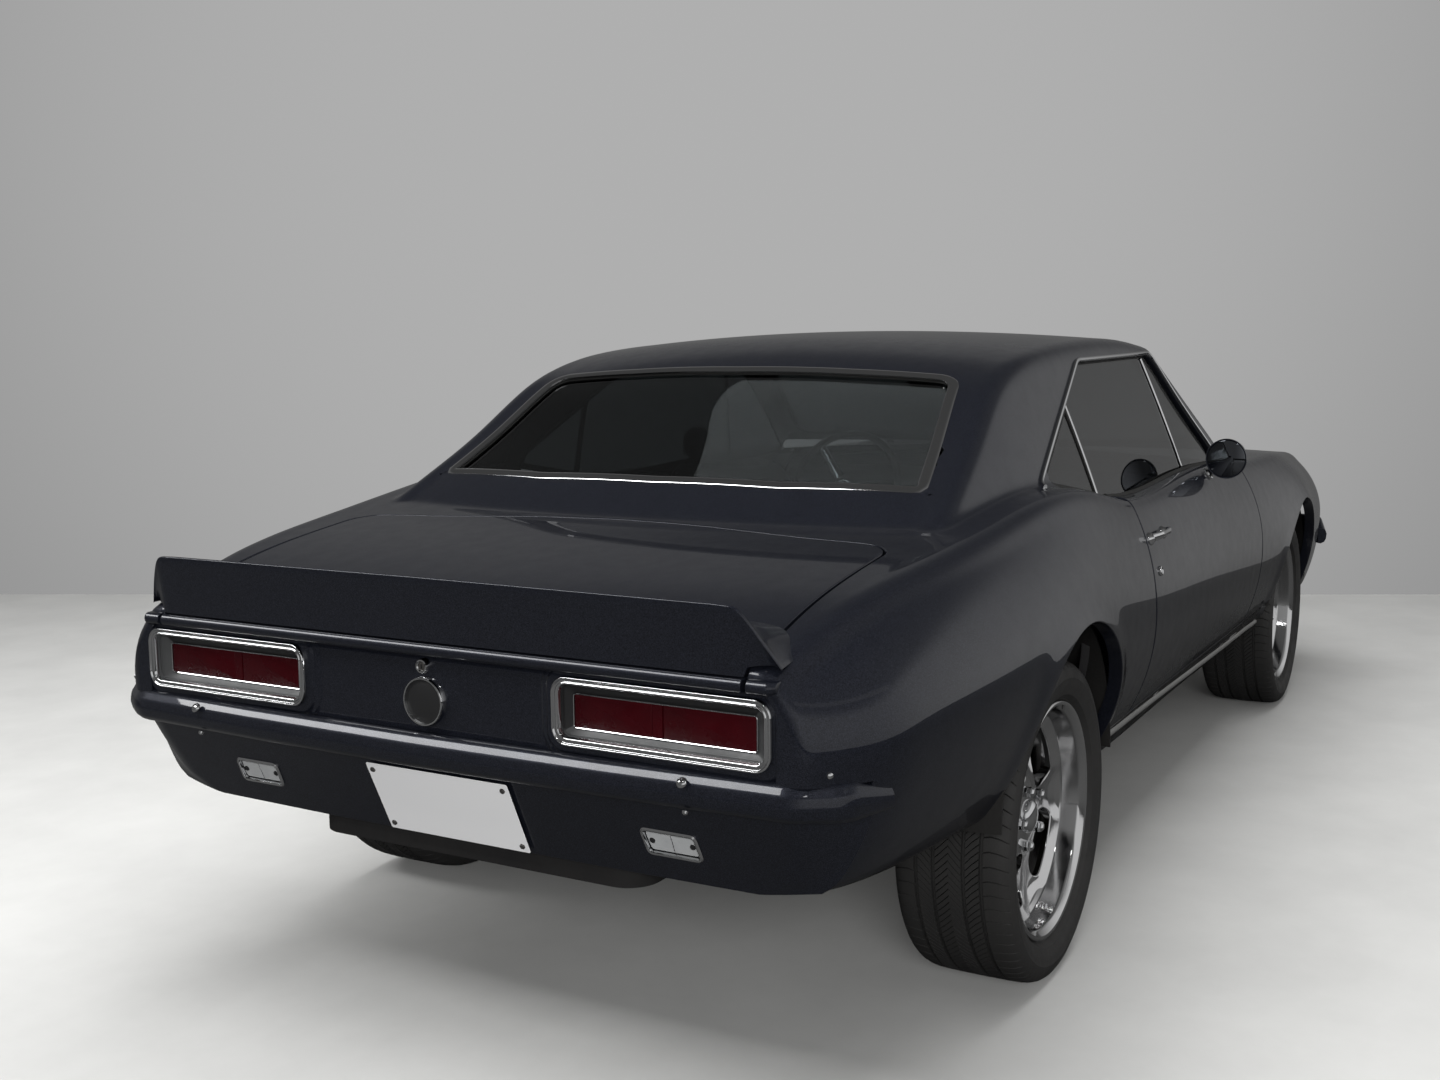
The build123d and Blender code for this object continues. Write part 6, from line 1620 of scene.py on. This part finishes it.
rim_profile = rounded([(105, 244), (101, 250), (92, 233), (60, 229), (42, 209), (-28, 209), (-48, 229),
                       (-95, 229), (-101, 247), (-110, 247), (-110, 238), (-102, 222), (-52, 222), (-32, 202),
                       (30, 202), (52, 220), (92, 226), (103, 238)],
                      [2, 3, 4, 10, 10, 10, 10, 4, 3, 3, 4, 6, 10, 10, 12, 14, 12, 3], steps=3)
rim_parts = [turned(rim_profile, 96), turned([(-12, 23), (40, 23), (40, 70), (-12, 78)], 48)]
nut_parts = [turned([(46, 0), (46, 36), (52, 35.8), (58, 34), (63, 28), (66, 18), (67.5, 8), (68, 0)], 48)]
six = np.arange(6) * math.pi / 3
nut = tube([np.stack([r * np.cos(six), six * 0 + h, r * np.sin(six)], 1)
            for h, r in ((0.047, 0.0112), (0.062, 0.0112), (0.066, 0.0095), (0.069, 0.005))])
washer = turned([(46.5, 0), (46.5, 15.5), (48.5, 15), (49, 0)], 20)
for turn in np.radians(36 + 72 * np.arange(5)):
    nut_at = (STUD_CIRCLE * math.cos(turn), 0, STUD_CIRCLE * math.sin(turn))
    nut_parts += [moved(nut, nut_at), moved(washer, nut_at)]
disc_part = turned([(-34, 76), (-34, 150), (-28, 150), (-28, 141), (-20, 141), (-20, 150), (-14, 150),
                    (-14, 82), (12, 78), (12, 30), (-34, 30)], 72)
for corner, axle, side in CORNERS:
    hub_at = (axle, side * WHEEL_Y, WHEEL_Z)
    face = wheel_face.mirrored() if side < 0 else wheel_face
    face.done(f"spokes_{corner}", f"wheel_{corner}", "polished_rim", polished, (f"wheel_{corner}",), hub_at)
    for name, slot, parts, material, replaces in (
            ("rim", "polished_rim", rim_parts, polished, (f"wheel_{corner}",)),
            ("wheel_nuts", "chrome", nut_parts, chrome, ()),
            ("brake_disc", "steel", [disc_part], bare_steel, ())):
        made(f"{name}_{corner}", f"wheel_{corner}", slot, [moved(part, mirror=side < 0) for part in parts],
             material, replaces=replaces, at=hub_at)

# Tyres
# Low-profile rubber tyres: wide shoulder blocks with a thin cut every 29 mm, four grooves round the
# tread, finer slanted cuts on the ribs between them, and plain sidewalls.
tyre_rubber = finish("tyre_rubber", (0.016, 0.016, 0.016), (0.032, 0.031, 0.03), (0.5, 0.72), 340.0,
                     relief=0.35)
TREAD_PITCHES = 72
CUT_STEPS = (0.0, 0.05, 0.10, 0.50, 0.55, 0.60)
# From the middle of the tread out and round: place across, radius, slant of the cuts in pitches,
# depth of the main cut and of the second cut.
TYRE_ROWS = [
    (0.0, 0.334, 0.0, 0.004, 0.004), (0.014, 0.334, 0.5, 0.004, 0.004), (0.0262, 0.3339, 0.9, 0.004, 0.004),
    (0.0272, 0.3262, 0.9, 0, 0), (0.0335, 0.3262, 1.0, 0, 0), (0.0345, 0.3338, 1.0, 0.004, 0.004),
    (0.048, 0.3337, 0.5, 0.004, 0.004), (0.0615, 0.3335, 0.1, 0.004, 0.004), (0.0625, 0.3258, 0.1, 0, 0),
    (0.0690, 0.3256, 0.1, 0, 0), (0.0700, 0.3332, 0.1, 0.005, 0), (0.082, 0.3326, 0.0, 0.005, 0),
    (0.094, 0.3308, 0.05, 0.005, 0), (0.104, 0.3272, 0.15, 0.005, 0), (0.1115, 0.3215, 0.3, 0.003, 0),
    (0.1160, 0.3150, 0.4, 0.0, 0), (0.1195, 0.306, 0.4, 0, 0), (0.1214, 0.295, 0.4, 0, 0),
    (0.1206, 0.2930, 0.4, 0, 0), (0.1200, 0.285, 0.4, 0, 0), (0.1170, 0.275, 0.4, 0, 0),
    (0.1140, 0.266, 0.4, 0, 0), (0.1120, 0.2600, 0.4, 0, 0), (0.100, 0.2520, 0.4, 0, 0),
    (0.0900, 0.2330, 0.4, 0, 0), (0.05, 0.2315, 0.4, 0, 0),
]
rows = np.array(TYRE_ROWS)
rows = np.concatenate([rows * [-1, 1, 1, 1, 1], rows[:0:-1]])
cuts = np.stack([rows[:, 0] * 0, rows[:, 3], rows[:, 0] * 0, rows[:, 0] * 0, rows[:, 4], rows[:, 0] * 0])
tread_rings = []
for pitch in range(TREAD_PITCHES):
    for step, share in enumerate(CUT_STEPS):
        angle = 2 * math.pi * (pitch + share + rows[:, 2]) / TREAD_PITCHES
        radius = rows[:, 1] - cuts[step]
        tread_rings.append(np.stack([radius * np.cos(angle), rows[:, 0], radius * np.sin(angle)], 1))
tyre_part = tube(tread_rings, loop=True)
for corner, axle, side in CORNERS:
    made(f"tyre_tread_{corner}", f"wheel_{corner}", "tyre", [moved(tyre_part, mirror=side < 0)], tyre_rubber,
         replaces=(f"tyre_{corner}",), at=(axle, side * WHEEL_Y, WHEEL_Z), sharp=28)

# Wheel housings
# Pressed steel shells over the wheels, welded inside the fenders and quarters and coated black.
underseal = finish("underseal", (0.008, 0.008, 0.008), (0.02, 0.019, 0.018), (0.6, 0.85), 130.0, relief=0.7)
HOUSE_LIP = 868
for corner, axle, side in CORNERS:
    deep, wide, first_angle = (435, 405, 4) if axle > 0 else (600, 380, 2)
    house = [(HOUSE_LIP, 371), (HOUSE_LIP - 50, wide), (deep + 30, wide), (deep + 4, wide - 20), (deep, 130),
             (deep - 4, 130), (deep - 4, wide), (deep + 20, wide + 4), (HOUSE_LIP - 50, wide + 4),
             (HOUSE_LIP, 376)]
    sweep = (math.radians(first_angle), math.radians(176))
    made(f"wheel_house_{corner}", "shell", "chassis", [moved(turned(house, 60, sweep), mirror=side < 0)],
         underseal, at=(axle, 0, ARCH_Z))

# Floor and lights
# A pale studio floor that ends at a pale wall, wide soft lights overhead and behind the camera, and
# three lamps at the car's sides that show in its paint. The room is lightest on the car's right. The
# floor is pale only to the camera; in the car's reflections and to bounced light it is near black, as
# painted shade and painted dark reflection.
pale_floor = finish("pale_floor", (0.5, 0.5, 0.5), (0.5, 0.5, 0.5), (0.45, 0.6), 30.0, patch=1.2, relief=0.0,
                    Specular_IOR_Level=0.0)
floor_tree = pale_floor.node_tree
# The floor shows its pale tone only to camera rays; to reflections (a twentieth share) and to bounced light it
# is near black, a painted dark reflection in the car's lower body and painted shade under it.
floor_seen = add_node(floor_tree, "LightPath")
floor_share = add_node(floor_tree, "Math", {1: 0.05}, operation="MULTIPLY_ADD")
floor_painted_dark = add_node(floor_tree, "Mix", {"A": (0.05, 0.05, 0.05, 1)}, data_type="RGBA")
floor_cloud = add_node(floor_tree, "Group", {"Tone": (0.68, 0.68, 0.665, 1), "Patch Scale": 2.4,
                                             "Other Tone": (0.52, 0.52, 0.51, 1)}, node_tree=mottle)
wire(floor_tree, (floor_seen, "Is Glossy Ray", floor_share, 0), (floor_seen, "Is Camera Ray", floor_share, 2),
     (floor_share, "Value", floor_painted_dark, "Factor"), (floor_cloud, "Color", floor_painted_dark, "B"),
     (floor_painted_dark, "Result", floor_tree.nodes["Principled BSDF"], "Base Color"))
floor_mesh = bpy.data.meshes.new("floor")
FLOOR_CORNERS = [(-3.9, 15.5, 0), (-19.6, 6.6, 0), (-6.7, -19.8, 0), (8.96, -10.9, 0)]
floor_mesh.from_pydata(FLOOR_CORNERS, [], [(0, 1, 2, 3)])
floor_mesh.materials.append(pale_floor)
floor = bpy.data.objects.new("floor", floor_mesh)
bpy.context.scene.collection.objects.link(floor)
for name, place, size, watts, aim, mirrored in (
        ("overhead", (-0.8, 0.0, 5.2), (7.0, 5.0), 370, (-0.8, 0, 0), False),
        ("behind_camera", (-8.0, -3.4, 2.4), (4.0, 2.5), 380, (-1.8, -0.3, 0.5), False),
        ("tail_strip", (-4.5, 3.3, 4.2), (5.6, 1.1), 170, (-2.3, 3.3, 0.6), True),
        ("tail_spot", (-4.6, -2.4, 4.4), (0.35, 0.35), 6, (-2.2, -0.7, 0.7), True),
        ("right_strip", (-1.2, -4.8, 4.2), (4.0, 0.4), 1, (-0.4, 0, 0.7), True)):
    lamp_data = bpy.data.lights.new(name, "AREA")
    lamp_data.shape = "RECTANGLE"
    lamp_data.size, lamp_data.size_y = size
    lamp_data.energy = watts
    lamp_data.cycles.max_bounces = 1 if mirrored else 12
    lamp = bpy.data.objects.new(name, lamp_data)
    lamp.location = place
    lamp.rotation_euler = (Vector(aim) - Vector(place)).to_track_quat("-Z", "Y").to_euler()
    lamp.visible_glossy = mirrored
    bpy.context.scene.collection.objects.link(lamp)
world = bpy.data.worlds.new("studio")
world.use_nodes = True
sky = world.node_tree
around = add_node(sky, "TexCoord")
ahead = add_node(sky, "VectorMath", {1: (0.862, 0.487, 0.14)}, operation="DOT_PRODUCT")
sideways = add_node(sky, "SeparateXYZ")
rightward = add_node(sky, "Math", {1: -1.0}, operation="MULTIPLY")
ramps = [add_node(sky, "MapRange", values, interpolation_type="SMOOTHSTEP") for values in (
    {"From Min": 0.80, "From Max": 1.0, "To Min": 0.27, "To Max": 0.43},
    {"From Min": 0.0, "From Max": 0.7, "To Min": 0.09, "To Max": 0.62},
    {"From Min": 0.42, "From Max": 0.60, "To Min": 1.0, "To Max": 0.25})]
level = add_node(sky, "Math", operation="MULTIPLY")
wall = add_node(sky, "Background", {"Strength": 1.0})
seen = add_node(sky, "LightPath")
clear = add_node(sky, "Math", operation="ADD")
share = add_node(sky, "Math", {1: 0.12}, operation="MULTIPLY_ADD")
either = add_node(sky, "MixShader")
wire(sky, (around, "Generated", ahead, 0), (ahead, "Value", ramps[0], "Value"),
     (around, "Generated", sideways, 0), (sideways, "Y", rightward, 0),
     (rightward, "Value", ramps[1], "Value"), (ramps[0], "Result", wall, "Color"),
     (sideways, "Z", ramps[2], "Value"), (ramps[1], "Result", level, 0), (ramps[2], "Result", level, 1),
     (level, "Value", sky.nodes["Background"], "Color"), (seen, "Is Camera Ray", clear, 0),
     (seen, "Is Transmission Ray", clear, 1), (seen, "Is Glossy Ray", share, 0), (clear, "Value", share, 2),
     (share, "Value", either, 0), (sky.nodes["Background"], "Background", either, 1),
     (wall, "Background", either, 2), (either, "Shader", sky.nodes["World Output"], "Surface"))
bpy.context.scene.world = world
bpy.context.scene.view_settings.view_transform = "Standard"
camera_data = bpy.data.cameras.new("camera")
camera_data.lens = 38.0
camera_data.sensor_width = 36
camera = bpy.data.objects.new("camera", camera_data)
yaw, pitch, roll = (math.radians(a) for a in (29.49, 7.37, 0.57))
sight = Vector((math.cos(yaw) * math.cos(pitch), math.sin(yaw) * math.cos(pitch), -math.sin(pitch)))
camera.location = (-4.3094, -1.754, 1.3162)
camera.rotation_mode = "QUATERNION"
camera.rotation_quaternion = sight.to_track_quat("-Z", "Y") @ Quaternion((0, 0, 1), -roll)
bpy.context.scene.collection.objects.link(camera)
bpy.context.scene.camera = camera
